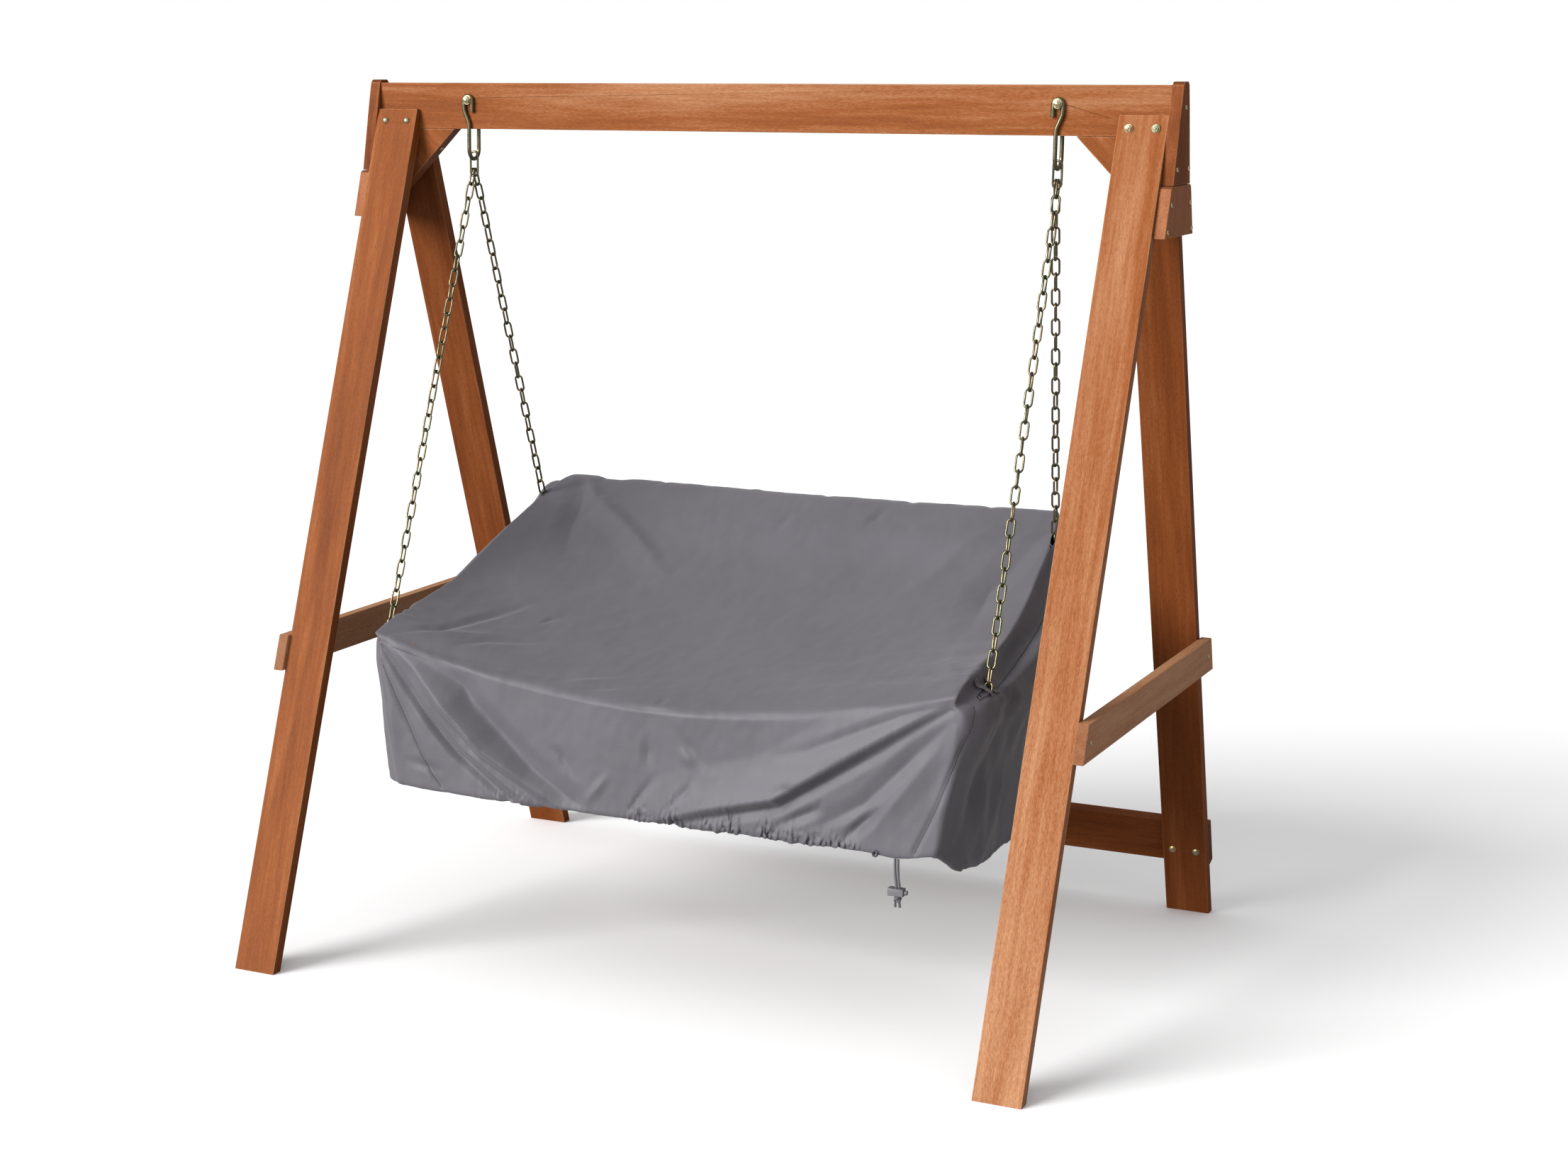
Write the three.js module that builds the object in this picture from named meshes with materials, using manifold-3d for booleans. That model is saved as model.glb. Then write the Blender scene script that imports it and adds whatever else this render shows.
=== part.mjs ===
// A timber A-frame porch swing with a fitted weather cover on its bench.
// Millimetres. +X is to the right, +Y to the rear, +Z up. The origin is on the
// ground, under the middle of the frame. "left" is -X and "right" is +X.
import * as THREE from 'three';
import { mergeVertices } from 'three/addons/utils/BufferGeometryUtils.js';
import Module from 'manifold-3d';

const wasm = await Module();
wasm.setup();

// ---------------------------------------------------------------- dimensions
const GAP = 0.3; // between pieces that touch
const BOARD = 30; // thickness of the beam, braces and bench frame

// legs: boards that lean inwards towards the beam, front and rear alike
const LEG_INNER_X = 720;
const LEG_OUTER_X = 810;
const LEG_FOOT_Y = 630;
const LEG_THICKNESS = 25;
const LEG_TOP_Z = 1646;
const LEG_TOP_FRONT_Y = 24.3;
const LEG_LEAN = (LEG_FOOT_Y - LEG_TOP_FRONT_Y) / LEG_TOP_Z;
const LEG_LEAN_ANGLE = Math.atan(LEG_LEAN);
const LEG_DEPTH_Y = LEG_THICKNESS / Math.cos(LEG_LEAN_ANGLE);

// beam
const BEAM_HALF_LENGTH = 809.7;
const BEAM_BOTTOM_Z = 1608;
const BEAM_TOP_Z = 1697;
const LEG_BOLT_X = [740.5, 789.5];
const LEG_BOLT_Z = 1623;
const BOLT_RADIUS = 3.9;
const BOLT_HOLE_RADIUS = 4.3;

// hanger: a round-rod bail hooked on a bolt through the beam
const HANGER_X = 606;
const HANGER_BOLT_Z = 1664;
const ROD_RADIUS = 4;
const HOOK_RADIUS = 9;
const BAIL_X = 604;
const BAIL_Y = BOARD / 2 + GAP + ROD_RADIUS;
const BAIL_STEPS = 60;

// swing axis: the upper bow of each top link rocks on the bottom of a bail
const SWING_AXIS_Z = 1556;
const TOP_LINK_WIRE_RADIUS = 2.25;
const TOP_LINK_BOW_RADIUS = 8;
const TOP_LINK_LOWER_Z = 1523.5;
const BAIL_BOTTOM_Z = SWING_AXIS_Z - TOP_LINK_WIRE_RADIUS - 0.35 - ROD_RADIUS;

// chain
const WIRE = 4.2;
const PITCH = 29.75;
const LINK_WIDTH = 18;
const LINK_OVERLAP = 0.4; // neighbouring links run into each other by this much
const LINK_INNER_HALF = (PITCH - LINK_OVERLAP) / 2;
const FIRST_LINK_LIFT = 4.85; // inner top of the first link above the bow's centre
const EYE_CLEARANCE = 3.5; // eye wire centre to the inner bottom of the last link
const FRONT_LINKS = 32;
const REAR_LINKS = 29;
const FRONT_CHAIN_AIM = new THREE.Vector3(621, -333, 642);
const REAR_CHAIN_AIM = new THREE.Vector3(556.7, 253.9, 709.9);
const CHAIN_TOP_SPREAD = 2.5;

// eye bolts
const EYE_RADIUS = 8;
const EYE_WIRE_RADIUS = 2.5;
const SHANK_RADIUS = 3;
const SHANK_HOLE_RADIUS = 3.4;
const SHANK_DEPTH = 34;

// bench
const SEAT_HALF_LENGTH = 509.7;
const SEAT_FRONT_Y = -396;
const SEAT_SLATS = 5;
const SEAT_SLAT_WIDTH = 96;
const SEAT_SLAT_PITCH = 113;
const SEAT_FRAME_Z = [395, 440];
const SEAT_SLAT_THICKNESS = 18;
const SEAT_FRONT_RAIL_Y = [-398, -376];
const SEAT_REAR_RAIL_Y = [178, 208];
const SUPPORT_Y = [-375.7, 177.7];
const SUPPORT_X = [-494.5, -15.3, 494.5];
const STILE_X = [-525, 15.3, 525];
const BACK_PIVOT = new THREE.Vector3(0, 256.7, 700.8);
const BACK_LEAN = Math.atan(0.349);
const STILE_DEPTH = 42;
const STILE_BELOW = [325, 262, 325]; // the middle stile stops above the rear rail
const STILE_ABOVE = 116;
const BACK_SLATS = 4;
const TOP_RAIL = { y: [-33, 28], thickness: 28 };
const BACK_SLAT_WIDTH = 62;
const BACK_SLAT_PITCH = 82;
const BACK_SLAT_THICKNESS = 24;
const BACK_HALF_LENGTH = 540;
const BACK_SLAT_START = -218; // lower edge of the lowest back slat, along the stile
const ARM_Z = [626.7, 646.3];
const ARM_X = [512, 596];
const ARM_Y = [-414, 250];
const ARM_NOTCH = { x: 540.5, y: 174 };
const ARM_TAPER = { startY: -250, rearX: 570 };
const POST_Y = [-400, -335];

// cover: a shell lofted through stations from front to rear
const COVER_WALL = 3.2;
const COVER_HEM_CUT = 20; // how far the hollow runs out below the hem
const COVER_SHOULDER_SHARE = 0.45; // height of the half-way point of the sag
const COVER_STATIONS = [
  [-424, -446, 598, 607, 545, 660, 636, 586, 360],
  [-383, -396, 600, 624, 588, 678, 645, 596, 336],
  [-300, -300, 600, 628, 600, 692, 655, 618, 318],
  [-116, -110, 598, 624, 602, 714, 676, 668, 316],
  [20, 20, 590, 614, 600, 752, 712, 716, 320],
  [125, 115, 578, 600, 594, 790, 745, 764, 326],
  [219, 200, 566, 588, 582, 846, 792, 836, 334],
  [318, 262, 536, 566, 560, 878, 838, 872, 342],
  [341, 284, 524, 552, 540, 872, 834, 866, 346],
].map(([top, hem, ridgeX, shoulderX, hemX, ridge, shoulder, middle, hemZ]) => (
  { top, hem, ridgeX, shoulderX, hemX, ridge, shoulder, middle, hemZ }
));
const FRONT_SLIT = { x: [604, 650], y: [-352, -298], z: [626, 720] };
const REAR_SLIT = { x: [546, 584], y: [190, 232], z: [790, 900] };

// drawcord of the cover: two strands side by side, through a spring lock to a knot
const CORD_Y = -450;
const CORD_RADIUS = 2.4;
const CORD_ROUTES = [
  [
    [500.6, -450, 358], [500.8, -450, 344], [501.6, -450.2, 331],
    [503.1, -450.8, 319], [505, -451.6, 308], [505.3, -451.7, 290.4],
  ],
  [
    [506.4, -450, 358], [506.6, -450, 344], [507.2, -449.8, 331],
    [508, -449.2, 319], [509, -448.4, 308], [509.1, -448.3, 290.4],
  ],
];
const LOCK_X = [490.5, 519.5];
const LOCK_HALF_Y = 7.5;
const LOCK_Z = [290.4, 304.2];
const LOCK_SLOT = { x: [501.5, 513], halfY: 4.6 };
const BUTTON_X = [516.2, 525.8];
const BUTTON_RADIUS = 4.5;
const BUTTON_CLEARANCE = 0.4;
const KNOT_X = 507.6;
const KNOT_Z = [267, 290.1];

// ----------------------------------------------------------------- materials
const material = (color, roughness, metalness = 0) => () => (
  new THREE.MeshStandardMaterial({ color, roughness, metalness })
);
const stainedWood = material(0xa86840, 0.6);
const darkWood = material(0x7a4a30, 0.65);
const benchWood = material(0x9a6440, 0.7);
const zincedSteel = material(0x8d8a68, 0.35, 0.9);
const screwSteel = material(0xb5a56a, 0.35, 0.9);
const coverFabric = material(0x7a767e, 0.85);
const cordBraid = material(0x1c1c1e, 0.8);
const lockPlastic = material(0x111112, 0.5);

// ---------------------------------------------------------------- geometries
const X_AXIS = new THREE.Vector3(1, 0, 0);
const Y_AXIS = new THREE.Vector3(0, 1, 0);
const Z_AXIS = new THREE.Vector3(0, 0, 1);

const toSolid = (geometry) => {
  const bare = geometry.clone();
  bare.deleteAttribute('normal');
  bare.deleteAttribute('uv');
  const merged = mergeVertices(bare, 1e-4);
  return new wasm.Manifold(new wasm.Mesh({
    numProp: 3,
    vertProperties: new Float32Array(merged.attributes.position.array),
    triVerts: new Uint32Array(merged.index.array),
  }));
};

const toGeometry = (solid) => {
  const mesh = solid.getMesh();
  const geometry = new THREE.BufferGeometry();
  geometry.setAttribute('position', new THREE.BufferAttribute(mesh.vertProperties, 3));
  geometry.setIndex(new THREE.BufferAttribute(mesh.triVerts, 1));
  geometry.computeVertexNormals();
  return geometry;
};

const cut = (geometry, tools) => (
  toGeometry(tools.reduce((solid, tool) => solid.subtract(toSolid(tool)), toSolid(geometry)))
);
const join = (geometries) => toGeometry(geometries.map(toSolid).reduce((solid, next) => solid.add(next)));

const box = ([x0, x1], [y0, y1], [z0, z1]) => {
  const geometry = new THREE.BoxGeometry(x1 - x0, y1 - y0, z1 - z0);
  return geometry.translate((x0 + x1) / 2, (y0 + y1) / 2, (z0 + z1) / 2);
};

const outline = (points) => new THREE.Shape(points.map(([a, b]) => new THREE.Vector2(a, b)));
const extruded = (points, depth) => (
  new THREE.ExtrudeGeometry(outline(points), { depth, bevelEnabled: false })
);

// an outline in the YZ plane, extruded from x0 to x1
const slabAlongX = (points, [x0, x1]) => {
  const turn = new THREE.Matrix4().makeBasis(Y_AXIS, Z_AXIS, X_AXIS);
  return extruded(points, x1 - x0).applyMatrix4(turn).translate(x0, 0, 0);
};

// an outline in the XZ plane, extruded from y0 to y1
const slabAlongY = (points, [y0, y1]) => {
  const turn = new THREE.Matrix4().makeBasis(X_AXIS, Z_AXIS, Y_AXIS.clone().negate());
  return extruded(points, y1 - y0).applyMatrix4(turn).translate(0, y1, 0);
};

const cylinderAlongX = (radius, [x0, x1], y, z, sides = 12) => {
  const geometry = new THREE.CylinderGeometry(radius, radius, x1 - x0, sides);
  return geometry.rotateZ(Math.PI / 2).translate((x0 + x1) / 2, y, z);
};

const cylinderAlongY = (radius, [y0, y1], x, z, sides = 12) => {
  const geometry = new THREE.CylinderGeometry(radius, radius, y1 - y0, sides);
  return geometry.translate(x, (y0 + y1) / 2, z);
};

const tube = (points, radius, sides, steps) => {
  const places = points.map((point) => new THREE.Vector3(...point));
  const path = new THREE.CatmullRomCurve3(places, false, 'centripetal');
  const section = new THREE.Shape();
  for (let i = 0; i < sides; i += 1) {
    const angle = (i / sides) * 2 * Math.PI;
    const corner = [radius * Math.cos(angle), radius * Math.sin(angle)];
    if (i === 0) section.moveTo(...corner);
    else section.lineTo(...corner);
  }
  return new THREE.ExtrudeGeometry(section, { extrudePath: path, steps, bevelEnabled: false });
};

// a ring of round wire in the XY plane, pulled out along Y into a long link
const wireRing = (bowRadius, wireRadius, straight, around, sides) => {
  const ring = new THREE.TorusGeometry(bowRadius, wireRadius, sides, around);
  const position = ring.attributes.position;
  for (let i = 0; i < position.count; i += 1) {
    const y = position.getY(i);
    const shift = Math.abs(y) < 1e-3 ? 0 : Math.sign(y) * straight / 2;
    position.setY(i, y + shift);
  }
  return ring;
};

// a turned bolt with its washers and nut, along Y
const turnedBolt = (profile) => (
  new THREE.LatheGeometry(profile.map(([radius, y]) => new THREE.Vector2(radius, y)), 12)
);

const model = new THREE.Group();
const stand = new THREE.Group();
const swing = new THREE.Group();
model.add(stand, swing);

const addMesh = (group, name, geometry, makeMaterial) => {
  const mesh = new THREE.Mesh(geometry, makeMaterial());
  mesh.name = name;
  group.add(mesh);
  return mesh;
};

const SIDES = [['left', -1], ['right', 1]];
const ENDS = [['front', -1], ['rear', 1]];
const spanX = (side, a, b) => (side > 0 ? [a, b] : [-b, -a]);

// --------------------------------------------------------------------- stand
const addLegs = () => {
  const backTopZ = LEG_TOP_Z - (LEG_DEPTH_Y - (LEG_TOP_FRONT_Y - BOARD / 2 - GAP)) / LEG_LEAN;
  const profile = [
    [LEG_FOOT_Y, 0],
    [LEG_FOOT_Y - LEG_DEPTH_Y, 0],
    [BOARD / 2 + GAP, backTopZ],
    [BOARD / 2 + GAP, LEG_TOP_Z],
    [LEG_TOP_FRONT_Y, LEG_TOP_Z],
  ];
  for (const [endName, end] of ENDS) {
    for (const [sideName, side] of SIDES) {
      const points = profile.map(([y, z]) => [end * y, z]);
      const board = slabAlongX(points, spanX(side, LEG_INNER_X, LEG_OUTER_X));
      const holes = LEG_BOLT_X.map(
        (x) => cylinderAlongY(BOLT_HOLE_RADIUS, [-80, 80], side * x, LEG_BOLT_Z),
      );
      addMesh(stand, `${endName}_leg_${sideName}`, cut(board, holes), end < 0 ? stainedWood : darkWood);
    }
  }
};

const addBeam = () => {
  const height = [BEAM_BOTTOM_Z, BEAM_TOP_Z];
  const beam = box([-BEAM_HALF_LENGTH, BEAM_HALF_LENGTH], [-BOARD / 2, BOARD / 2], height);
  const holes = [];
  for (const [, side] of SIDES) {
    for (const x of LEG_BOLT_X) {
      holes.push(cylinderAlongY(BOLT_HOLE_RADIUS, [-40, 40], side * x, LEG_BOLT_Z));
    }
    holes.push(cylinderAlongY(BOLT_HOLE_RADIUS, [-40, 40], side * HANGER_X, HANGER_BOLT_Z));
  }
  addMesh(stand, 'top_beam', cut(beam, holes), stainedWood);
};

const addEndPlates = () => {
  const upper = [
    [-55, 1526], [55, 1526], [30, 1645], [17.5, 1697],
    [11.5, 1703], [-11.5, 1703], [-17.5, 1697], [-30, 1645],
  ];
  const lower = [[-92, 1436], [92, 1436], [64.5, 1521], [58.5, 1525.2], [-58.5, 1525.2], [-64.5, 1521]];
  for (const [sideName, side] of SIDES) {
    const span = spanX(side, LEG_OUTER_X + GAP, 832);
    addMesh(stand, `upper_end_plate_${sideName}`, slabAlongX(upper, span), darkWood);
    addMesh(stand, `lower_gusset_${sideName}`, slabAlongX(lower, span), darkWood);
  }
};

const addCornerBraces = () => {
  const under = BEAM_BOTTOM_Z - GAP;
  for (const [sideName, side] of SIDES) {
    const points = [[640, under], [797.7, 1450], [BEAM_HALF_LENGTH, 1450], [BEAM_HALF_LENGTH, under]];
    const brace = slabAlongY(points.map(([x, z]) => [side * x, z]), [-BOARD / 2, BOARD / 2]);
    addMesh(stand, `corner_brace_${sideName}`, brace, stainedWood);
  }
};

const addSideRails = () => {
  const points = [[-431.5, 564], [431.5, 564], [406.5, 632], [-406.5, 632]];
  for (const [sideName, side] of SIDES) {
    const span = spanX(side, LEG_OUTER_X + GAP, 831.3);
    addMesh(stand, `side_rail_${sideName}`, slabAlongX(points, span), stainedWood);
  }
};

// a board across the rear faces of the rear legs, leaning with them
const addRearStretcher = () => {
  const bottomZ = 111.5;
  const width = 100;
  const thickness = 22;
  const up = new THREE.Vector2(-Math.sin(LEG_LEAN_ANGLE), Math.cos(LEG_LEAN_ANGLE));
  const out = new THREE.Vector2(up.y, -up.x);
  const corner = new THREE.Vector2(LEG_FOOT_Y - LEG_LEAN * bottomZ, bottomZ).addScaledVector(out, GAP);
  const points = [[0, 0], [thickness, 0], [thickness, width], [0, width]].map(([across, along]) => {
    const point = corner.clone().addScaledVector(out, across).addScaledVector(up, along);
    return [point.x, point.y];
  });
  addMesh(stand, 'rear_stretcher', slabAlongX(points, [-LEG_OUTER_X, LEG_OUTER_X]), darkWood);
};

const addLegBolts = () => {
  const seatY = LEG_TOP_FRONT_Y + LEG_LEAN * (LEG_TOP_Z - LEG_BOLT_Z) + 4.2;
  const head = [
    [8.5, seatY], [8.5, seatY + 1.6], [6.6, seatY + 1.6],
    [6.6, seatY + 5.6], [3.9, seatY + 7.2], [0, seatY + 7.2],
  ];
  const half = [[BOLT_RADIUS, seatY], ...head];
  const mirrored = half.map(([radius, y]) => [radius, -y]).reverse();
  for (const [sideName, side] of SIDES) {
    for (const [index, place] of ['inner', 'outer'].entries()) {
      const bolt = turnedBolt([...mirrored, ...half]).translate(side * LEG_BOLT_X[index], 0, LEG_BOLT_Z);
      addMesh(stand, `leg_bolt_${place}_${sideName}`, bolt, screwSteel);
    }
  }
};

const addHangers = () => {
  const seatY = BAIL_Y + ROD_RADIUS + GAP;
  const half = [
    [BOLT_RADIUS, seatY], [9.5, seatY], [9.5, seatY + 1.8], [7.2, seatY + 1.8],
    [7.2, seatY + 5.4], [4, seatY + 6.6], [0, seatY + 6.6],
  ];
  const mirrored = half.map(([radius, y]) => [radius, -y]).reverse();
  const hookZ = HANGER_BOLT_Z + BOLT_RADIUS + GAP + ROD_RADIUS - HOOK_RADIUS;
  const uCentreZ = BAIL_BOTTOM_Z + BAIL_Y;
  for (const [sideName, side] of SIDES) {
    const bolt = turnedBolt([...mirrored, ...half]).translate(side * HANGER_X, 0, HANGER_BOLT_Z);
    addMesh(stand, `hanger_bolt_${sideName}`, bolt, screwSteel);

    const hook = [[HANGER_X - HOOK_RADIUS, 1641], [HANGER_X - HOOK_RADIUS, 1650]];
    for (let i = 0; i <= 6; i += 1) {
      const angle = Math.PI - (i / 6) * Math.PI;
      hook.push([HANGER_X + HOOK_RADIUS * Math.cos(angle), hookZ + HOOK_RADIUS * Math.sin(angle)]);
    }
    hook.push([HANGER_X + HOOK_RADIUS, 1651], [HANGER_X + HOOK_RADIUS - 1.5, 1642]);
    hook.push([BAIL_X + 2, 1624], [BAIL_X, 1615], [BAIL_X, 1590]);
    const route = hook.map(([x, z]) => [side * x, -BAIL_Y, z]);
    for (let i = 0; i <= 8; i += 1) {
      const angle = (i / 8) * Math.PI;
      route.push([side * BAIL_X, -BAIL_Y * Math.cos(angle), uCentreZ - BAIL_Y * Math.sin(angle)]);
    }
    route.push(...hook.map(([x, z]) => [side * x, BAIL_Y, z]).reverse());
    addMesh(stand, `hanger_bail_${sideName}`, tube(route, ROD_RADIUS, 8, BAIL_STEPS), zincedSteel);
  }
};

// -------------------------------------------------------------------- chains
const linkShape = () => {
  const halfWidth = LINK_WIDTH / 2;
  const halfLength = LINK_INNER_HALF + WIRE;
  const chamfer = 5;
  const quarter = [[halfWidth, halfLength - chamfer], [halfWidth - chamfer, halfLength]];
  const shape = outline([
    ...quarter,
    ...quarter.map(([x, y]) => [-x, y]).reverse(),
    ...quarter.map(([x, y]) => [-x, -y]),
    ...quarter.map(([x, y]) => [x, -y]).reverse(),
  ]);
  const inner = [[-1, -1], [-1, 1], [1, 1], [1, -1]];
  const innerHalfWidth = halfWidth - WIRE;
  const opening = inner.map(([x, y]) => new THREE.Vector2(x * innerHalfWidth, y * LINK_INNER_HALF));
  shape.holes.push(new THREE.Path(opening));
  return new THREE.ExtrudeGeometry(shape, { depth: WIRE, bevelEnabled: false }).translate(0, 0, -WIRE / 2);
};

const chainLength = (links) => (
  LINK_INNER_HALF - FIRST_LINK_LIFT + PITCH * (links - 1) + LINK_INNER_HALF - EYE_CLEARANCE
);

const chainLine = (side, aim, spread, links) => {
  const start = new THREE.Vector3(side * (BAIL_X + spread), 0, TOP_LINK_LOWER_Z);
  const target = new THREE.Vector3(side * aim.x, aim.y, aim.z);
  const direction = target.sub(start).normalize();
  const end = start.clone().addScaledVector(direction, chainLength(links));
  return { start, direction, end };
};

// links alternate between the plane across X and the plane along X
const chainSolid = ({ start, direction }, links) => {
  const acrossX = new THREE.Vector3().crossVectors(X_AXIS, direction).normalize();
  const alongX = new THREE.Vector3().crossVectors(direction, acrossX).normalize();
  const first = start.clone().addScaledVector(direction, LINK_INNER_HALF - FIRST_LINK_LIFT);
  const placed = [];
  for (let k = 0; k < links; k += 1) {
    const widthAxis = k % 2 === 0 ? acrossX : alongX;
    const normal = new THREE.Vector3().crossVectors(widthAxis, direction);
    const centre = first.clone().addScaledVector(direction, PITCH * k);
    const placement = new THREE.Matrix4().makeBasis(widthAxis, direction, normal).setPosition(centre);
    placed.push(linkShape().applyMatrix4(placement));
  }
  return join(placed);
};

const addChains = () => {
  const straight = SWING_AXIS_Z - TOP_LINK_LOWER_Z - 2 * TOP_LINK_BOW_RADIUS;
  const middleZ = (SWING_AXIS_Z + TOP_LINK_LOWER_Z) / 2;
  for (const [sideName, side] of SIDES) {
    const topLink = wireRing(TOP_LINK_BOW_RADIUS, TOP_LINK_WIRE_RADIUS, straight, 16, 8);
    topLink.rotateX(Math.PI / 2).translate(side * BAIL_X, 0, middleZ);
    addMesh(swing, `top_link_${sideName}`, topLink, zincedSteel);
    const front = chainLine(side, FRONT_CHAIN_AIM, CHAIN_TOP_SPREAD, FRONT_LINKS);
    addMesh(swing, `front_chain_${sideName}`, chainSolid(front, FRONT_LINKS), zincedSteel);
    const rear = chainLine(side, REAR_CHAIN_AIM, -CHAIN_TOP_SPREAD, REAR_LINKS);
    addMesh(swing, `rear_chain_${sideName}`, chainSolid(rear, REAR_LINKS), zincedSteel);
  }
};

// the front eyes lie flat beside the arms, the rear eyes stand beside the stiles
const frontEye = (side) => {
  const wire = chainLine(side, FRONT_CHAIN_AIM, CHAIN_TOP_SPREAD, FRONT_LINKS).end;
  return { centre: wire.clone().add(new THREE.Vector3(-side * EYE_RADIUS, 0, 0)), faceX: ARM_X[1] };
};

const rearEye = (side) => {
  const wire = chainLine(side, REAR_CHAIN_AIM, -CHAIN_TOP_SPREAD, REAR_LINKS).end;
  return { centre: wire.clone().add(new THREE.Vector3(0, 0, -EYE_RADIUS)), faceX: STILE_X[2] + BOARD / 2 };
};

const shankSpan = (side, { centre, faceX }, extra) => {
  const outer = Math.abs(centre.x) - EYE_RADIUS;
  return spanX(side, faceX - SHANK_DEPTH - extra, outer + extra);
};

const addEyeBolts = () => {
  for (const [sideName, side] of SIDES) {
    const front = frontEye(side);
    const frontSpan = shankSpan(side, front, 0);
    const frontRing = new THREE.TorusGeometry(EYE_RADIUS, EYE_WIRE_RADIUS, 6, 12);
    frontRing.translate(...front.centre.toArray());
    const frontShank = cylinderAlongX(SHANK_RADIUS, frontSpan, front.centre.y, front.centre.z, 8);
    addMesh(swing, `front_eye_bolt_${sideName}`, join([frontRing, frontShank]), screwSteel);

    const rear = rearEye(side);
    const rearRing = new THREE.TorusGeometry(EYE_RADIUS, EYE_WIRE_RADIUS, 6, 12).rotateX(Math.PI / 2);
    rearRing.translate(...rear.centre.toArray());
    const rearSpan = shankSpan(side, rear, 0);
    const rearShank = cylinderAlongX(SHANK_RADIUS, rearSpan, rear.centre.y, rear.centre.z, 8);
    addMesh(swing, `rear_eye_bolt_${sideName}`, join([rearRing, rearShank]), screwSteel);
  }
};

// --------------------------------------------------------------------- bench
const addSeat = () => {
  const seatTop = SEAT_FRAME_Z[1] + GAP;
  for (const [index, name] of ['left', 'middle', 'right'].entries()) {
    const x = SUPPORT_X[index];
    const support = box([x - BOARD / 2, x + BOARD / 2], SUPPORT_Y, SEAT_FRAME_Z);
    addMesh(swing, `seat_support_${name}`, support, benchWood);
  }
  const seatSpan = [-SEAT_HALF_LENGTH, SEAT_HALF_LENGTH];
  addMesh(swing, 'seat_front_rail', box(seatSpan, SEAT_FRONT_RAIL_Y, SEAT_FRAME_Z), benchWood);
  addMesh(swing, 'seat_rear_rail', box(seatSpan, SEAT_REAR_RAIL_Y, SEAT_FRAME_Z), benchWood);
  for (let i = 0; i < SEAT_SLATS; i += 1) {
    const y = SEAT_FRONT_Y + i * SEAT_SLAT_PITCH;
    const slat = box(seatSpan, [y, y + SEAT_SLAT_WIDTH], [seatTop, seatTop + SEAT_SLAT_THICKNESS]);
    addMesh(swing, `seat_slat_${i + 1}`, slat, benchWood);
  }
};

const addBack = () => {
  const back = new THREE.Group();
  back.position.copy(BACK_PIVOT);
  back.rotation.x = -BACK_LEAN;
  swing.add(back);
  back.updateMatrixWorld();
  const toBack = back.matrixWorld.clone().invert();
  for (const [index, name] of ['left', 'middle', 'right'].entries()) {
    const x = STILE_X[index];
    const span = [x - BOARD / 2, x + BOARD / 2];
    let stile = box(span, [-STILE_DEPTH / 2, STILE_DEPTH / 2], [-STILE_BELOW[index], STILE_ABOVE]);
    if (name !== 'middle') {
      const eye = rearEye(Math.sign(x));
      const holeSpan = shankSpan(Math.sign(x), eye, 1);
      const hole = cylinderAlongX(SHANK_HOLE_RADIUS, holeSpan, eye.centre.y, eye.centre.z, 8);
      stile = cut(stile, [hole.applyMatrix4(toBack)]);
    }
    addMesh(back, `back_stile_${name}`, stile, benchWood);
  }
  const front = -STILE_DEPTH / 2 - GAP;
  for (let i = 0; i < BACK_SLATS; i += 1) {
    const z = BACK_SLAT_START + i * BACK_SLAT_PITCH;
    const thickness = [front - BACK_SLAT_THICKNESS, front];
    const slat = box([-BACK_HALF_LENGTH, BACK_HALF_LENGTH], thickness, [z, z + BACK_SLAT_WIDTH]);
    addMesh(back, `back_slat_${i + 1}`, slat, benchWood);
  }
  const railZ = [STILE_ABOVE + GAP, STILE_ABOVE + GAP + TOP_RAIL.thickness];
  const rail = box([-BACK_HALF_LENGTH, BACK_HALF_LENGTH], TOP_RAIL.y, railZ);
  addMesh(back, 'back_top_rail', rail, benchWood);
};

const addArms = () => {
  for (const [sideName, side] of SIDES) {
    const post = box(spanX(side, 510, 540), POST_Y, [SEAT_FRAME_Z[0], ARM_Z[0] - GAP]);
    addMesh(swing, `arm_post_${sideName}`, post, benchWood);
    const corners = [
      [ARM_X[0], ARM_Y[0]],
      [ARM_X[1], ARM_Y[0]],
      [ARM_X[1], ARM_TAPER.startY],
      [ARM_TAPER.rearX, ARM_Y[1]],
      [ARM_NOTCH.x, ARM_Y[1]],
      [ARM_NOTCH.x, ARM_NOTCH.y],
      [ARM_X[0], ARM_NOTCH.y],
    ].map(([x, y]) => [side * x, y]);
    const arm = extruded(corners, ARM_Z[1] - ARM_Z[0]).translate(0, 0, ARM_Z[0]);
    const eye = frontEye(side);
    const holeSpan = shankSpan(side, eye, 1);
    const hole = cylinderAlongX(SHANK_HOLE_RADIUS, holeSpan, eye.centre.y, eye.centre.z, 8);
    addMesh(swing, `armrest_${sideName}`, cut(arm, [hole]), benchWood);
  }
};

// --------------------------------------------------------------------- cover
const coverTopRow = (station, inset) => {
  const sagZ = station.middle + (station.ridge - station.middle) * COVER_SHOULDER_SHARE;
  const half = [
    [station.shoulderX - inset, station.shoulder - inset * 0.4],
    [station.ridgeX - inset * 0.6, station.ridge - inset * 1.2],
    [510, station.ridge - 2 - inset * 1.2],
    [270, sagZ - inset * 1.2],
  ];
  return [
    ...half.map(([x, z]) => [-x, z]),
    [0, station.middle - inset * 1.2],
    ...half.slice().reverse(),
  ];
};

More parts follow.
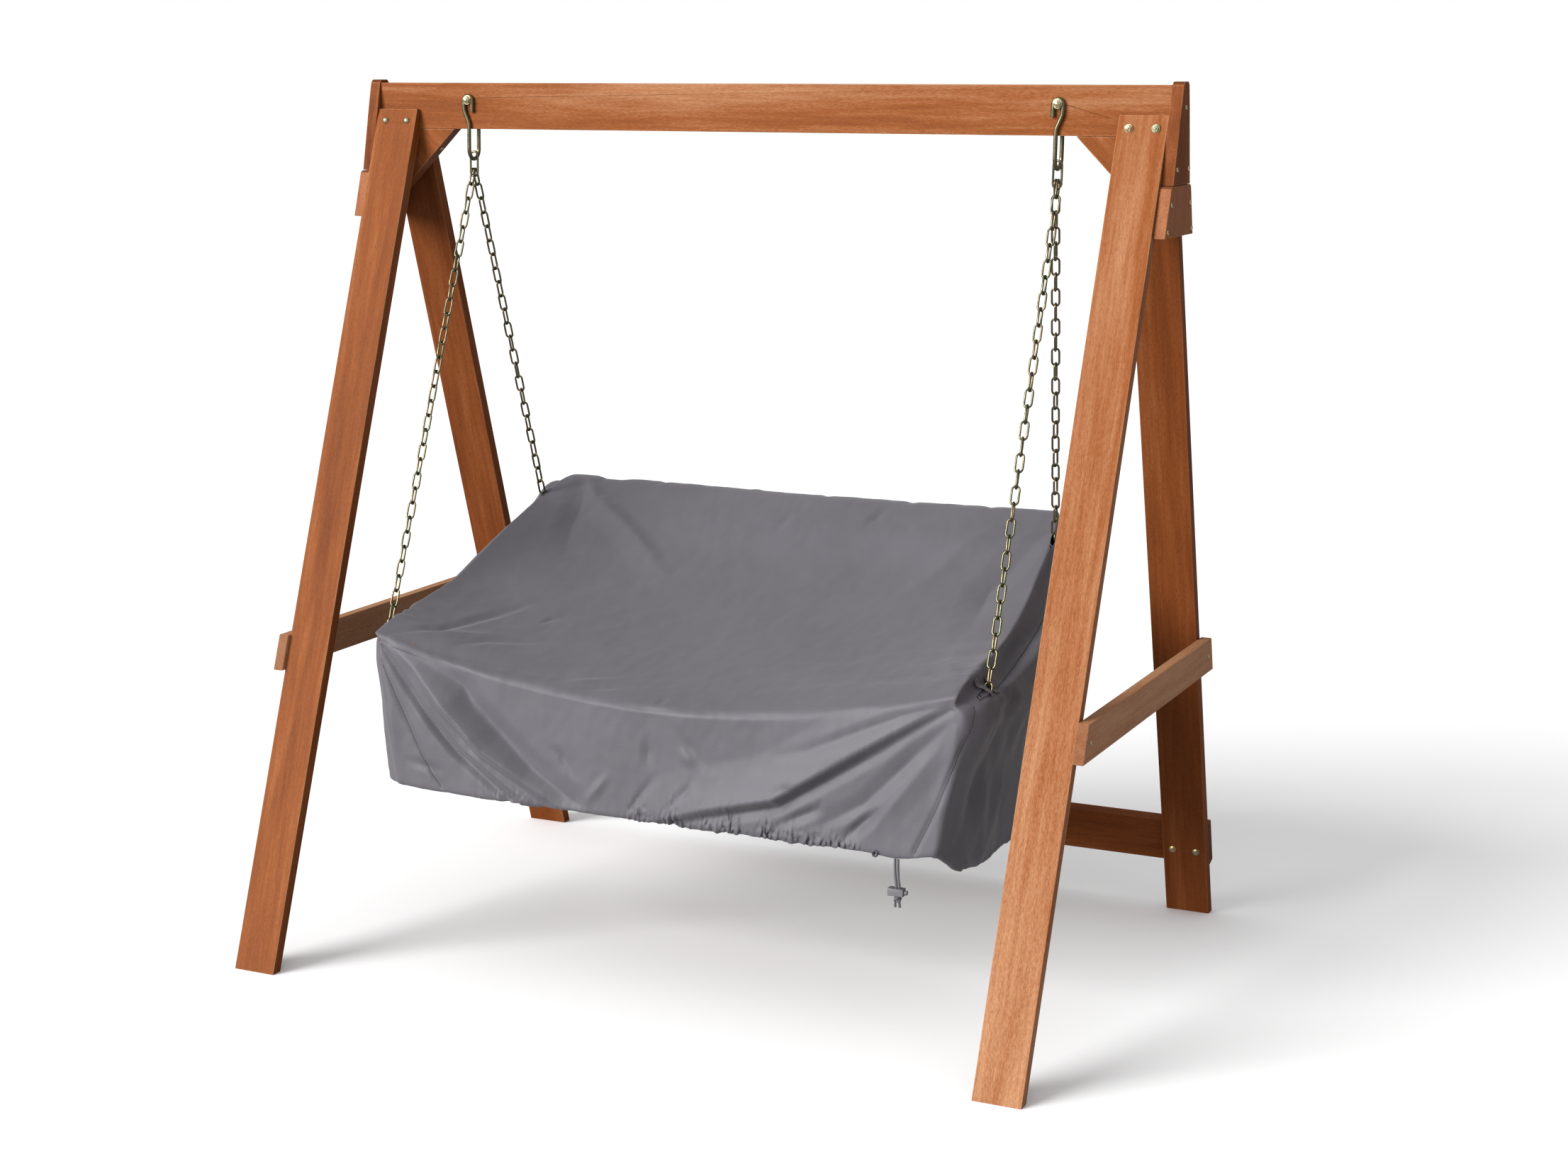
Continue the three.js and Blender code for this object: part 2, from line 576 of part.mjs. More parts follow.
const coverBody = (inset, hemDrop) => {
  const rows = COVER_STATIONS.map((station, index) => {
    const endShift = { 0: inset, [COVER_STATIONS.length - 1]: -inset }[index] ?? 0;
    const top = coverTopRow(station, inset);
    const hemScale = (station.hemX - inset) / (station.shoulderX - inset);
    return {
      top: top.map(([x, z]) => [x, station.top + endShift, z]),
      hem: top.map(([x]) => [x * hemScale, station.hem + endShift, station.hemZ - hemDrop]),
    };
  });
  const count = rows[0].top.length;
  const position = [];
  for (const row of rows) position.push(...row.top.flat(), ...row.hem.flat());
  const at = (row, level, column) => (row * 2 + level) * count + column;
  const triangles = [];
  const quad = (a, b, c, d) => triangles.push(a, b, c, a, c, d);
  for (let row = 0; row + 1 < rows.length; row += 1) {
    for (let column = 0; column + 1 < count; column += 1) {
      quad(at(row, 0, column), at(row, 0, column + 1), at(row + 1, 0, column + 1), at(row + 1, 0, column));
      quad(at(row, 1, column), at(row + 1, 1, column), at(row + 1, 1, column + 1), at(row, 1, column + 1));
    }
    quad(at(row, 0, 0), at(row + 1, 0, 0), at(row + 1, 1, 0), at(row, 1, 0));
    quad(at(row, 0, count - 1), at(row, 1, count - 1), at(row + 1, 1, count - 1), at(row + 1, 0, count - 1));
  }
  const last = rows.length - 1;
  for (let column = 0; column + 1 < count; column += 1) {
    quad(at(0, 0, column), at(0, 1, column), at(0, 1, column + 1), at(0, 0, column + 1));
    quad(at(last, 0, column), at(last, 0, column + 1), at(last, 1, column + 1), at(last, 1, column));
  }
  const geometry = new THREE.BufferGeometry();
  geometry.setAttribute('position', new THREE.BufferAttribute(new Float32Array(position), 3));
  geometry.setIndex(triangles);
  return geometry;
};

const addCover = () => {
  const slits = SIDES.flatMap(([, side]) => (
    [FRONT_SLIT, REAR_SLIT].map(({ x, y, z }) => box(spanX(side, ...x), y, z))
  ));
  const shell = cut(coverBody(0, 0), [coverBody(COVER_WALL, COVER_HEM_CUT), ...slits]);
  addMesh(swing, 'bench_cover', shell, coverFabric);
};

// ------------------------------------------------------------------ drawcord
const addDrawcord = () => {
  for (const [index, name] of ['left', 'right'].entries()) {
    addMesh(swing, `drawcord_${name}`, tube(CORD_ROUTES[index], CORD_RADIUS, 8, 12), cordBraid);
  }
  const lockCase = box(LOCK_X, [CORD_Y - LOCK_HALF_Y, CORD_Y + LOCK_HALF_Y], LOCK_Z);
  const slot = box(LOCK_SLOT.x, [CORD_Y - LOCK_SLOT.halfY, CORD_Y + LOCK_SLOT.halfY], [280, 310]);
  const lockMiddleZ = (LOCK_Z[0] + LOCK_Z[1]) / 2;
  const boreX = [LOCK_SLOT.x[1] - 1, LOCK_X[1] + 1];
  const bore = cylinderAlongX(BUTTON_RADIUS + BUTTON_CLEARANCE, boreX, CORD_Y, lockMiddleZ);
  addMesh(swing, 'cord_lock', cut(lockCase, [slot, bore]), lockPlastic);
  const button = cylinderAlongX(BUTTON_RADIUS, BUTTON_X, CORD_Y, lockMiddleZ);
  addMesh(swing, 'cord_lock_button', button, lockPlastic);
  const [knotBottom, knotTop] = KNOT_Z;
  const knotProfile = [
    [0, knotBottom],
    [4, knotBottom],
    [4.4, knotBottom + 10],
    [7.4, knotBottom + 14],
    [7.8, knotBottom + 17.5],
    [6.4, knotTop - 1.5],
    [4, knotTop],
    [0, knotTop],
  ];
  const knot = turnedBolt(knotProfile).rotateX(Math.PI / 2).translate(KNOT_X, CORD_Y, 0);
  addMesh(swing, 'cord_end_knot', knot, cordBraid);
};

addLegs();
addBeam();
addEndPlates();
addCornerBraces();
addSideRails();
addRearStretcher();
addLegBolts();
addHangers();
addChains();
addEyeBolts();
addSeat();
addBack();
addArms();
addCover();
addDrawcord();

export default model;
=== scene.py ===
"""Porch swing: an A-frame wooden stand, a bench on chains and the fabric cover pulled over the bench."""

import math
import random

import bmesh
import bpy
import numpy as np
from mathutils import Matrix, Vector, noise
from mathutils.bvhtree import BVHTree
from mathutils.interpolate import poly_3d_calc


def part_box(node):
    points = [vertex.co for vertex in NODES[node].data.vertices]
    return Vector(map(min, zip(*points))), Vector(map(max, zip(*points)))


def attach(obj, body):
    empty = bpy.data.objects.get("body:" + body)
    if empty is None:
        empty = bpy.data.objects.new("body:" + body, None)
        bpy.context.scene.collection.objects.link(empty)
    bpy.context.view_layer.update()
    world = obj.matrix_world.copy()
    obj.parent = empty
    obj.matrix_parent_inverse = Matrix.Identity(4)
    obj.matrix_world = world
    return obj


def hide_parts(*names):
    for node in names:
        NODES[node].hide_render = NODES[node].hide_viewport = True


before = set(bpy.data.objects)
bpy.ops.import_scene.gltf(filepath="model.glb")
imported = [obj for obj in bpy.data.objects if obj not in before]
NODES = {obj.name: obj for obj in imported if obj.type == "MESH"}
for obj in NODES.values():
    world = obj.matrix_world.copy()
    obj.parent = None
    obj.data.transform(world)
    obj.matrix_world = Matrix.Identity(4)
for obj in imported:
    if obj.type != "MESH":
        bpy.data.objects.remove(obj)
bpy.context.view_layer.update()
MM = 0.001
SIDES = {"left": -1, "right": 1}


# ------------------------------------------------------------------- camera
CAMERA_PLACE = (2.1296, -4.8192, 1.7422)
CAMERA_YAW = math.radians(27.526)
CAMERA_PITCH = math.radians(-14.504)
CAMERA_ROLL = math.radians(-0.077)
CAMERA_LENS_MM = 62.012
CAMERA_SHIFT = (0.13432, 0.10838)


def make_camera():
    forward = Vector(
        (
            -math.sin(CAMERA_YAW) * math.cos(CAMERA_PITCH),
            math.cos(CAMERA_YAW) * math.cos(CAMERA_PITCH),
            math.sin(CAMERA_PITCH),
        )
    )
    level = Vector((math.cos(CAMERA_YAW), math.sin(CAMERA_YAW), 0))
    turn = Matrix.Rotation(-CAMERA_ROLL, 3, forward)
    right = turn @ level
    up = right.cross(forward)
    camera = bpy.data.objects.new("camera", bpy.data.cameras.new("camera"))
    bpy.context.scene.collection.objects.link(camera)
    turned = Matrix((right, up, -forward)).transposed()
    camera.matrix_world = Matrix.Translation(CAMERA_PLACE) @ turned.to_4x4()
    camera.data.lens = CAMERA_LENS_MM
    camera.data.sensor_width = 36
    camera.data.shift_x, camera.data.shift_y = CAMERA_SHIFT
    bpy.context.scene.camera = camera


# ------------------------------------------------------------ shader helpers
def new_material(name):
    material = bpy.data.materials.new(name)
    material.use_nodes = True
    return material, material.node_tree, material.node_tree.nodes["Principled BSDF"]


def put(socket, value):
    """Links a node's output to the socket, or sets the socket to a number or colour."""
    if isinstance(value, bpy.types.NodeSocket):
        socket.id_data.links.new(value, socket)
    elif hasattr(value, "__len__") and len(value) == 3 and socket.type == "RGBA":
        socket.default_value = (*value, 1)
    else:
        socket.default_value = value


def shade(tree, kind, settings=None, **inputs):
    """Adds a shader node. An input named s0, s1 ... is given by its place, any other by its name."""
    made = tree.nodes.new("ShaderNode" + kind)
    for key, value in (settings or {}).items():
        setattr(made, key, value)
    for key, value in inputs.items():
        place = int(key[1:]) if key[0] == "s" and key[1:].isdigit() else key.replace("_", " ")
        put(made.inputs[place], value)
    return made


def attribute(tree, name):
    return shade(tree, "Attribute", {"attribute_name": name})


def stretched(vector, scale):
    return shade(vector.id_data, "VectorMath", {"operation": "MULTIPLY"}, s0=vector, s1=scale).outputs[0]


def noise_at(vector, scale, detail, roughness, distortion=0.0):
    inputs = {"Scale": scale, "Detail": detail, "Roughness": roughness, "Distortion": distortion}
    return shade(vector.id_data, "TexNoise", Vector=vector, **inputs).outputs["Fac"]


def fitted(value, low, high, out_low=0.0, out_high=1.0):
    """Maps low ... high of a value to out_low ... out_high, and holds it there outside."""
    return shade(value.id_data, "MapRange", s0=value, s1=low, s2=high, s3=out_low, s4=out_high).outputs[0]


def varied(value, low, high):
    """Maps nearly all that a noise gives, 0.3 to 0.7, to low ... high."""
    return fitted(value, 0.3, 0.7, low, high)


def mixed(share, first, second):
    return shade(share.id_data, "Mix", {"data_type": "RGBA"}, s0=share, s6=first, s7=second).outputs[2]


def computed(operation, first, second=0.5):
    return shade(first.id_data, "Math", {"operation": operation}, s0=first, s1=second).outputs[0]


def bumped(shader, height, strength, distance):
    made = shade(height.id_data, "Bump", Height=height, Strength=strength, Distance=distance)
    put(shader.inputs["Normal"], made.outputs[0])


# ----------------------------------------------------------------- materials
def three_tone(value, dark, middle, light):
    """A colour that goes from dark at 0 through the middle one at 0.5 to light at 1."""
    made = shade(value.id_data, "ValToRGB", Fac=value)
    ramp = made.color_ramp
    ramp.elements[0].color = (*dark, 1)
    ramp.elements[1].color = (*light, 1)
    ramp.elements.new(0.5).color = (*middle, 1)
    return made.outputs[0]


# how often each layer of the wood's figure changes, per metre along, across and through the board
BROAD_FIGURE = (1.4, 16, 16)
STREAKS = (7, 130, 130)
FLECKS = (110, 620, 620)
PORES = (150, 1150, 1150)
WOOD_SHINE = 0.06


def wood_material(name, dark, middle, light, pore, roughness=0.5):
    """Stained hardwood. The grain attribute holds metres along, across and through the board."""
    material, tree, shader = new_material(name)
    grain = attribute(tree, "grain").outputs["Vector"]
    tone = attribute(tree, "tone").outputs["Fac"]
    broad = noise_at(stretched(grain, BROAD_FIGURE), 1.0, 2, 0.55, 0.6)
    streak = noise_at(stretched(grain, STREAKS), 1.0, 3, 0.6, 0.3)
    fine = noise_at(stretched(grain, FLECKS), 1.0, 2, 0.6)
    pores = noise_at(stretched(grain, PORES), 1.0, 1, 0.5)
    spread = computed("ADD", tone, varied(broad, -0.16, 0.16))
    spread = computed("ADD", spread, varied(streak, -0.09, 0.09))
    fleck_depth = fitted(tone, 0.5, 0.8, 0.4, 1)
    flecks = computed("MULTIPLY", varied(fine, -0.16, 0.16), fleck_depth)
    colour = three_tone(computed("ADD", spread, flecks), dark, middle, light)
    colour = mixed(fitted(pores, 0.58, 0.72, 0, 0.5), colour, pore)
    edge = attribute(tree, "edge").outputs["Fac"]
    # painted highlight: the eased edges' bevel faces are lightened in streaks towards the light colour,
    # where rounded edges catch the light
    painted_edge_highlight = computed("MULTIPLY", edge, fitted(streak, 0.35, 0.6, 0.1, 0.45))
    colour = mixed(painted_edge_highlight, colour, light)
    end = attribute(tree, "end").outputs["Fac"]
    colour = mixed(computed("MULTIPLY", end, 0.55), colour, pore)
    put(shader.inputs["Base Color"], colour)
    put(shader.inputs["Roughness"], varied(fine, roughness - 0.06, roughness + 0.08))
    shader.inputs["Specular IOR Level"].default_value = WOOD_SHINE
    height = computed("SUBTRACT", varied(fine, 0, 1), fitted(pores, 0.55, 0.7))
    bumped(shader, height, 0.35, 0.0004)
    return material


def zinc_material(name, gold, green, pink, roughness=0.27):
    """Steel with a yellow zinc coating that shines in slightly different colours from place to place."""
    material, tree, shader = new_material(name)
    place = attribute(tree, "place").outputs["Vector"]
    wide = noise_at(place, 38.0, 2, 0.5)
    small = noise_at(place, 260.0, 3, 0.6)
    colour = mixed(fitted(wide, 0.42, 0.6), gold, green)
    colour = mixed(fitted(small, 0.55, 0.75, 0, 0.6), colour, pink)
    put(shader.inputs["Base Color"], colour)
    shader.inputs["Metallic"].default_value = 1.0
    put(shader.inputs["Roughness"], varied(small, roughness - 0.08, roughness + 0.12))
    bumped(shader, small, 0.15, 0.0003)
    return material


WEAVE_PITCH = 0.0011
# a wave texture of scale 1 repeats every 0.314 of its vector
WAVE_SCALE = 0.314 / WEAVE_PITCH


def fabric_material(name, dark, light):
    """Coated polyester. The cloth attribute holds metres across and along the cut of each panel."""
    material, tree, shader = new_material(name)
    cloth = attribute(tree, "cloth").outputs["Vector"]
    warp = shade(tree, "TexWave", {"bands_direction": "X"}, Vector=cloth, Scale=WAVE_SCALE)
    weft = shade(tree, "TexWave", {"bands_direction": "Y"}, Vector=cloth, Scale=WAVE_SCALE)
    weave = computed("MULTIPLY", warp.outputs["Fac"], weft.outputs["Fac"])
    clouds = noise_at(cloth, 5.0, 3, 0.55, 0.3)
    slubs = noise_at(stretched(cloth, (900, 220, 1)), 1.0, 2, 0.6)
    lightness = varied(clouds, 0.25, 0.75)
    share = computed("ADD", lightness, varied(slubs, -0.2, 0.2))
    colour = mixed(share, dark, light)
    colour = mixed(fitted(weave, 0.0, 0.5, 0.22, 0), colour, dark)
    put(shader.inputs["Base Color"], colour)
    put(shader.inputs["Roughness"], varied(clouds, 0.5, 0.6))
    shader.inputs["Specular IOR Level"].default_value = 0.3
    shader.inputs["Sheen Weight"].default_value = 0.12
    shader.inputs["Sheen Roughness"].default_value = 0.45
    height = computed("ADD", computed("MULTIPLY", weave, 0.5), slubs)
    bumped(shader, height, 0.25, 0.0003)
    return material


BRAID_PITCH = 0.0036
BRAID_STRANDS = 4.0


def braid_material(name, dark, light):
    """Braided cord. The cloth attribute holds metres along it and the turn round it, in radians."""
    material, tree, shader = new_material(name)
    parts = shade(tree, "SeparateXYZ", s0=attribute(tree, "cloth").outputs["Vector"])
    along = computed("MULTIPLY", parts.outputs[0], 2 * math.pi / BRAID_PITCH)
    around = computed("MULTIPLY", parts.outputs[1], BRAID_STRANDS)
    rising = computed("SINE", computed("ADD", along, around))
    falling = computed("SINE", computed("SUBTRACT", along, around))
    braid = computed("MAXIMUM", rising, falling)
    colour = mixed(fitted(braid, -0.2, 0.9), dark, light)
    put(shader.inputs["Base Color"], colour)
    shader.inputs["Roughness"].default_value = 0.75
    bumped(shader, braid, 0.5, 0.0004)
    return material


def plastic_material(name, colour, roughness):
    """Moulded plastic with the fine grain of the mould."""
    material, tree, shader = new_material(name)
    place = attribute(tree, "place").outputs["Vector"]
    grain = noise_at(place, 1800.0, 2, 0.6)
    cloud = noise_at(place, 120.0, 2, 0.5)
    darker = tuple(0.7 * c for c in colour)
    put(shader.inputs["Base Color"], mixed(varied(cloud, 0, 1), darker, colour))
    put(shader.inputs["Roughness"], varied(cloud, roughness - 0.06, roughness + 0.06))
    bumped(shader, grain, 0.2, 0.0002)
    return material


FLOOR_SEEN = (0.9, 0.9, 0.9)
FLOOR_BOUNCE = (0.45, 0.45, 0.45)


def floor_material():
    """White where it is seen, and darker for the light that it throws back on the object."""
    material, tree, shader = new_material("pale_floor")
    seen = shade(tree, "LightPath").outputs["Is Camera Ray"]
    put(shader.inputs["Base Color"], mixed(seen, FLOOR_BOUNCE, FLOOR_SEEN))
    shader.inputs["Roughness"].default_value = 0.9
    shader.inputs["Specular IOR Level"].default_value = 0.0
    return material


FRONT_WOOD = wood_material(
    "stained_wood_light",
    dark=(0.06, 0.01, 0.002),
    middle=(0.21, 0.062, 0.015),
    light=(0.385, 0.195, 0.1),
    pore=(0.09, 0.022, 0.006),
)
# a darker copy of the stand's wood: partly the rear boards' own darker stain, partly painted shade for the
# light that the rear legs lose facing back and away from the lamps
SHADED_REAR_WOOD = wood_material(
    "stained_wood_dark_painted_shade",
    dark=(0.045, 0.008, 0.002),
    middle=(0.16, 0.044, 0.011),
    light=(0.29, 0.115, 0.052),
    pore=(0.045, 0.01, 0.003),
    roughness=0.58,
)
BENCH_WOOD = wood_material(
    "bench_wood",
    dark=(0.08, 0.025, 0.01),
    middle=(0.2, 0.08, 0.035),
    light=(0.38, 0.18, 0.09),
    pore=(0.07, 0.024, 0.012),
    roughness=0.6,
)
CHAIN_COLOURS = (0.17, 0.135, 0.078), (0.11, 0.12, 0.068), (0.19, 0.112, 0.095)
BOLT_COLOURS = (0.5, 0.4, 0.24), (0.36, 0.37, 0.24), (0.5, 0.34, 0.28)
CHAIN_ZINC = zinc_material("yellow_zinc_chain", *CHAIN_COLOURS)
BOLT_ZINC = zinc_material("yellow_zinc_bolts", *BOLT_COLOURS, 0.24)
COVER_FABRIC = fabric_material("cover_fabric", (0.07, 0.066, 0.076), (0.098, 0.092, 0.106))
SEAM_THREAD = braid_material("seam_thread", (0.022, 0.021, 0.025), (0.06, 0.057, 0.065))
CORD_BRAID = braid_material("drawcord_braid", (0.03, 0.03, 0.034), (0.125, 0.12, 0.13))
LOCK_PLASTIC = plastic_material("lock_plastic", (0.125, 0.122, 0.13), 0.45)


# --------------------------------------------------------------- mesh helpers
def set_attribute(mesh, name, domain, values):
    """Stores one number or one vector for each point, face or face corner of a mesh."""
    values = np.asarray(values, float)
    vector = values.ndim == 2
    layer = mesh.attributes.new(name, "FLOAT_VECTOR" if vector else "FLOAT", domain)
    layer.data.foreach_set("vector" if vector else "value", values.ravel())


def rounded_mesh(name, vertices, faces, crease=None):
    """A smooth-shaded mesh, with its edges kept sharp where they turn by more than the crease angle."""
    mesh = bpy.data.meshes.new(name)
    mesh.from_pydata(vertices, [], faces)
    mesh.polygons.foreach_set("use_smooth", [True] * len(faces))
    if crease:
        mesh.set_sharp_from_angle(angle=math.radians(crease))
    return mesh


def place_object(name, mesh, body, material, replaces):
    """Adds a piece that rides on a body and stands for the CAD nodes named."""
    made = bpy.data.objects.new(name, mesh)
    bpy.context.scene.collection.objects.link(made)
    mesh.materials.append(material)
    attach(made, body)
    if replaces:
        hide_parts(*replaces)
    return made


def skin(rings, sides, closed=False, flipped=False):
    """The faces round a row of rings of points, with end caps unless the last ring meets the first."""
    faces = []
    for i in range(rings if closed else rings - 1):
        here, there = i * sides, (i + 1) % rings * sides
        for s in range(sides):
            t = (s + 1) % sides
            faces.append((here + s, here + t, there + t, there + s))
    if not closed:
        faces.append(tuple(range(sides - 1, -1, -1)))
        faces.append(tuple((rings - 1) * sides + s for s in range(sides)))
    return [face[::-1] for face in faces] if flipped else faces


def arc(centre, first, second, angles):
    """Points on an ellipse with the half axes first and second, at angles in radians from the first."""
    centre, first, second = Vector(centre), Vector(first), Vector(second)
    return [centre + math.cos(a) * first + math.sin(a) * second for a in angles]


def full_turn(steps):
    return np.arange(steps) * 2 * math.pi / steps


class Solids:
    """Vertices and faces of several solids that become one object."""

    def __init__(self):
        self.vertices = []
        self.faces = []
        self.round_faces = []

    def add(self, vertices, faces, smooth=True):
        first = len(self.vertices)
        self.vertices += [Vector(v) for v in vertices]
        self.faces += [[first + i for i in face] for face in faces]
        self.round_faces += [smooth] * len(faces)

    def make(self, name, body, slot, material, replaces=(), crease=40):
        mesh = bpy.data.meshes.new(name)
        mesh.from_pydata(self.vertices, [], self.faces)
        mesh.polygons.foreach_set("use_smooth", self.round_faces)
        mesh.set_sharp_from_angle(angle=math.radians(crease))
        places = [tuple(v) for v in self.vertices]
        set_attribute(mesh, "place", "POINT", places)
        set_attribute(mesh, "cloth", "POINT", places)
        return place_object(name, mesh, body, material, replaces)

    def make_bolt(self, node):
        self.make("zinc_" + node, "stand", "bolt_zinc", BOLT_ZINC, (node,), crease=30)

    def make_chain(self, node, body="swing"):
        self.make("zinc_" + node, body, "chain_zinc", CHAIN_ZINC, (node,))


def sweep(points, radius, sides, closed=False, flatten=1.0, upright=None):
    """A bar along the points, round or flattened, with closed ends unless it is a loop."""
    points = [Vector(p) for p in points]
    count = len(points)
    tangents = []
    for i in range(count):
        before = points[i - 1] if closed or i else points[i]
        after = points[(i + 1) % count] if closed or i < count - 1 else points[i]
        tangents.append((after - before).normalized())
    normal = Vector(upright) if upright else tangents[0].orthogonal()
    vertices = []
    for point, tangent in zip(points, tangents):
        if upright:
            normal = Vector(upright)
        normal = (normal - normal.dot(tangent) * tangent).normalized()
        other = tangent.cross(normal)
        for s in range(sides):
            angle = 2 * math.pi * s / sides
            vertices.append(point + radius * (math.cos(angle) * flatten * normal + math.sin(angle) * other))
    return vertices, skin(count, sides, closed)


def turned(profile, place, axis, sides):
    """A solid turned from (radius, height) points, with height along the axis from the place."""
    axis = Vector(axis).normalized()
    across = axis.orthogonal().normalized()
    other = axis.cross(across)
    place = Vector(place)
    angles = full_turn(sides) + math.pi / sides
    vertices = []
    for radius, height in profile:
        vertices += arc(place + axis * height, radius * across, radius * other, angles)
    return vertices, skin(len(profile), sides)


def smooth_line(points, step):
    """Points about a step apart on a smooth curve through the given ones."""
    points = [Vector(p) for p in points]
    line = []
    for i in range(len(points) - 1):
        start, end = points[i], points[i + 1]
        before = points[i - 1] if i else start - (end - start)
        after = points[i + 2] if i + 2 < len(points) else end + (end - start)
        pieces = max(1, round((end - start).length / step))
        for k in range(pieces):
            t = k / pieces
            bend = (2 * before - 5 * start + 4 * end - after) * t * t
            bend += (3 * start - before - 3 * end + after) * t * t * t
            line.append(0.5 * (2 * start + (end - before) * t + bend))
    return line + [points[-1]]


# -------------------------------------------------------------------- boards
BOARD_BEVEL = 1.6 * MM
LEG_DEPTH, LEG_FOOT_Y, LEG_TOP_Y = 25, 630, 24.3
LEG_TOP_Z = 1646
LEG_LEAN = (LEG_FOOT_Y - LEG_TOP_Y) / LEG_TOP_Z
BACK_LEAN = 0.349
# a board's tone may be a pair, for its parts below and above these heights
TONE_HEIGHTS = (0.9, 1.6)

random.seed(4)


def clean_shape(node, tolerance):
    """The CAD node's shape with its flat faces whole again."""
    shape = bmesh.new()
    shape.from_mesh(NODES[node].data)
    bmesh.ops.remove_doubles(shape, verts=shape.verts, dist=tolerance)
    bmesh.ops.dissolve_limit(shape, angle_limit=math.radians(1), verts=shape.verts, edges=shape.edges)
    return shape


def turned_edges(shape, degrees, shortest=0.0):
    """The edges where the surface turns by more than an angle."""
    edges = [e for e in shape.edges if len(e.link_faces) == 2 and e.calc_length() > shortest]
    return [e for e in edges if e.calc_face_angle() > math.radians(degrees)]


def board(node, body, slot, material, along, tone):
    """A board with the CAD node's shape, eased edges and its own stretch of grain."""
    shape = clean_shape(node, 1e-5)
    sharp = turned_edges(shape, 15, 0.005)
    eased = bmesh.ops.bevel(
        shape, geom=sharp, offset=BOARD_BEVEL, segments=2, profile=0.6, affect="EDGES", clamp_overlap=False
    )
    shape.normal_update()
    shape.faces.index_update()
    eased_faces = {f.index for f in eased["faces"]}
    along = Vector(along).normalized()
    through = along.cross(Vector((1, 0, 0)) if abs(along.x) < 0.5 else Vector((0, 0, 1))).normalized()
    turn = Matrix((along, through.cross(along), through))
    offset = Vector((random.uniform(0, 9), random.uniform(0, 9), random.uniform(0, 9)))
    grain = [turn @ v.co + offset for v in shape.verts]
    ends = [float(abs(f.normal.dot(along)) > 0.7) for f in shape.faces]
    edges = [float(f.index in eased_faces) for f in shape.faces]
    mesh = bpy.data.meshes.new("wood_" + node)
    shape.to_mesh(mesh)
    shape.free()
    set_attribute(mesh, "grain", "POINT", grain)
    tones = tone if isinstance(tone, tuple) else (tone, tone)
    heights = [v.co.z for v in mesh.vertices]
    set_attribute(mesh, "tone", "POINT", np.interp(heights, TONE_HEIGHTS, tones))
    set_attribute(mesh, "end", "FACE", ends)
    set_attribute(mesh, "edge", "FACE", edges)
    return place_object("wood_" + node, mesh, body, material, (node,))


def make_stand_boards():
    light = ("stand", "stained_wood", FRONT_WOOD)
    # the darker wood holds painted shade as well as a darker stain
    dark = ("stand", "dark_wood", SHADED_REAR_WOOD)
    front_tone = {"left": (0.38, 0.42), "right": (0.79, 0.5)}
    rear_tone = {"left": 0.5, "right": 0.47}
    for side in SIDES:
        board(f"front_leg_{side}", *light, (0, LEG_LEAN, 1), front_tone[side])
        board(f"rear_leg_{side}", *dark, (0, -LEG_LEAN, 1), rear_tone[side])
        board(f"upper_end_plate_{side}", *dark, (0, 0, 1), 0.47)
        board(f"lower_gusset_{side}", *dark, (0, 0, 1), 0.86)
        board(f"corner_brace_{side}", *light, (0.7, 0, -0.7), 0.46)
        board(f"side_rail_{side}", *light, (0, 1, 0), 0.86)
    board("top_beam", *light, (1, 0, 0), 0.58)
    board("rear_stretcher", *dark, (1, 0, 0), 0.43)


def make_bench_boards():
    """The bench's boards, each with the direction of its grain."""
    directions = {}
    for name in ("left", "middle", "right"):
        directions[f"seat_support_{name}"] = (0, 1, 0)
        directions[f"back_stile_{name}"] = (0, BACK_LEAN, 1)
    for side in SIDES:
        directions[f"arm_post_{side}"] = (0, 0, 1)
        directions[f"armrest_{side}"] = (0, 1, 0)
    lengthwise = ["seat_front_rail", "seat_rear_rail", "back_top_rail"]
    lengthwise += [f"seat_slat_{i}" for i in range(1, 6)] + [f"back_slat_{i}" for i in range(1, 5)]
    directions.update(dict.fromkeys(lengthwise, (1, 0, 0)))
    for name, along in directions.items():
        board(name, "swing", "bench_wood", BENCH_WOOD, along, random.uniform(0.4, 0.6))


# ----------------------------------------------------------------- fasteners
def pan_head(solids, place, axis, radius=4.5 * MM):
    """A pan-head screw with a cross recess, standing on a surface."""
    axis = Vector(axis).normalized()
    across = axis.orthogonal().normalized()
    across.rotate(Matrix.Rotation(random.uniform(0, math.pi / 2), 3, axis))
    other = axis.cross(across)
    narrow, wide = 0.13 * radius, 0.55 * radius
    cross = []
    for quarter in range(4):
        c, s = math.cos(quarter * math.pi / 2), math.sin(quarter * math.pi / 2)
        for x, y in ((wide, -narrow), (wide, narrow), (narrow, narrow)):
            cross.append((x * c - y * s, x * s + y * c))
    # the recess's floor and rim, then rings from the crown down to the surface
    floor = [(0.9 * x, 0.9 * y, 0.16 * radius) for x, y in cross]
    levels = [floor, [(x, y, 0.56 * radius) for x, y in cross]]
    for share, height in ((0.72, 0.5), (0.9, 0.36), (1.0, 0.16), (1.0, 0.0)):
        ring = [Vector((x, y, 0)).normalized() * share * radius for x, y in cross]
        levels.append([(p.x, p.y, height * radius) for p in ring])
    vertices = [Vector(place) + across * x + other * y + axis * z for level in levels for x, y, z in level]
    solids.add(vertices, skin(len(levels), len(cross), flipped=True))


def washer(solids, place, axis, radius, thickness):
    rim = 0.3 * MM
    profile = [(radius - rim, 0), (radius, rim), (radius, thickness - rim), (radius - rim, thickness)]
    solids.add(*turned(profile, place, axis, 32))


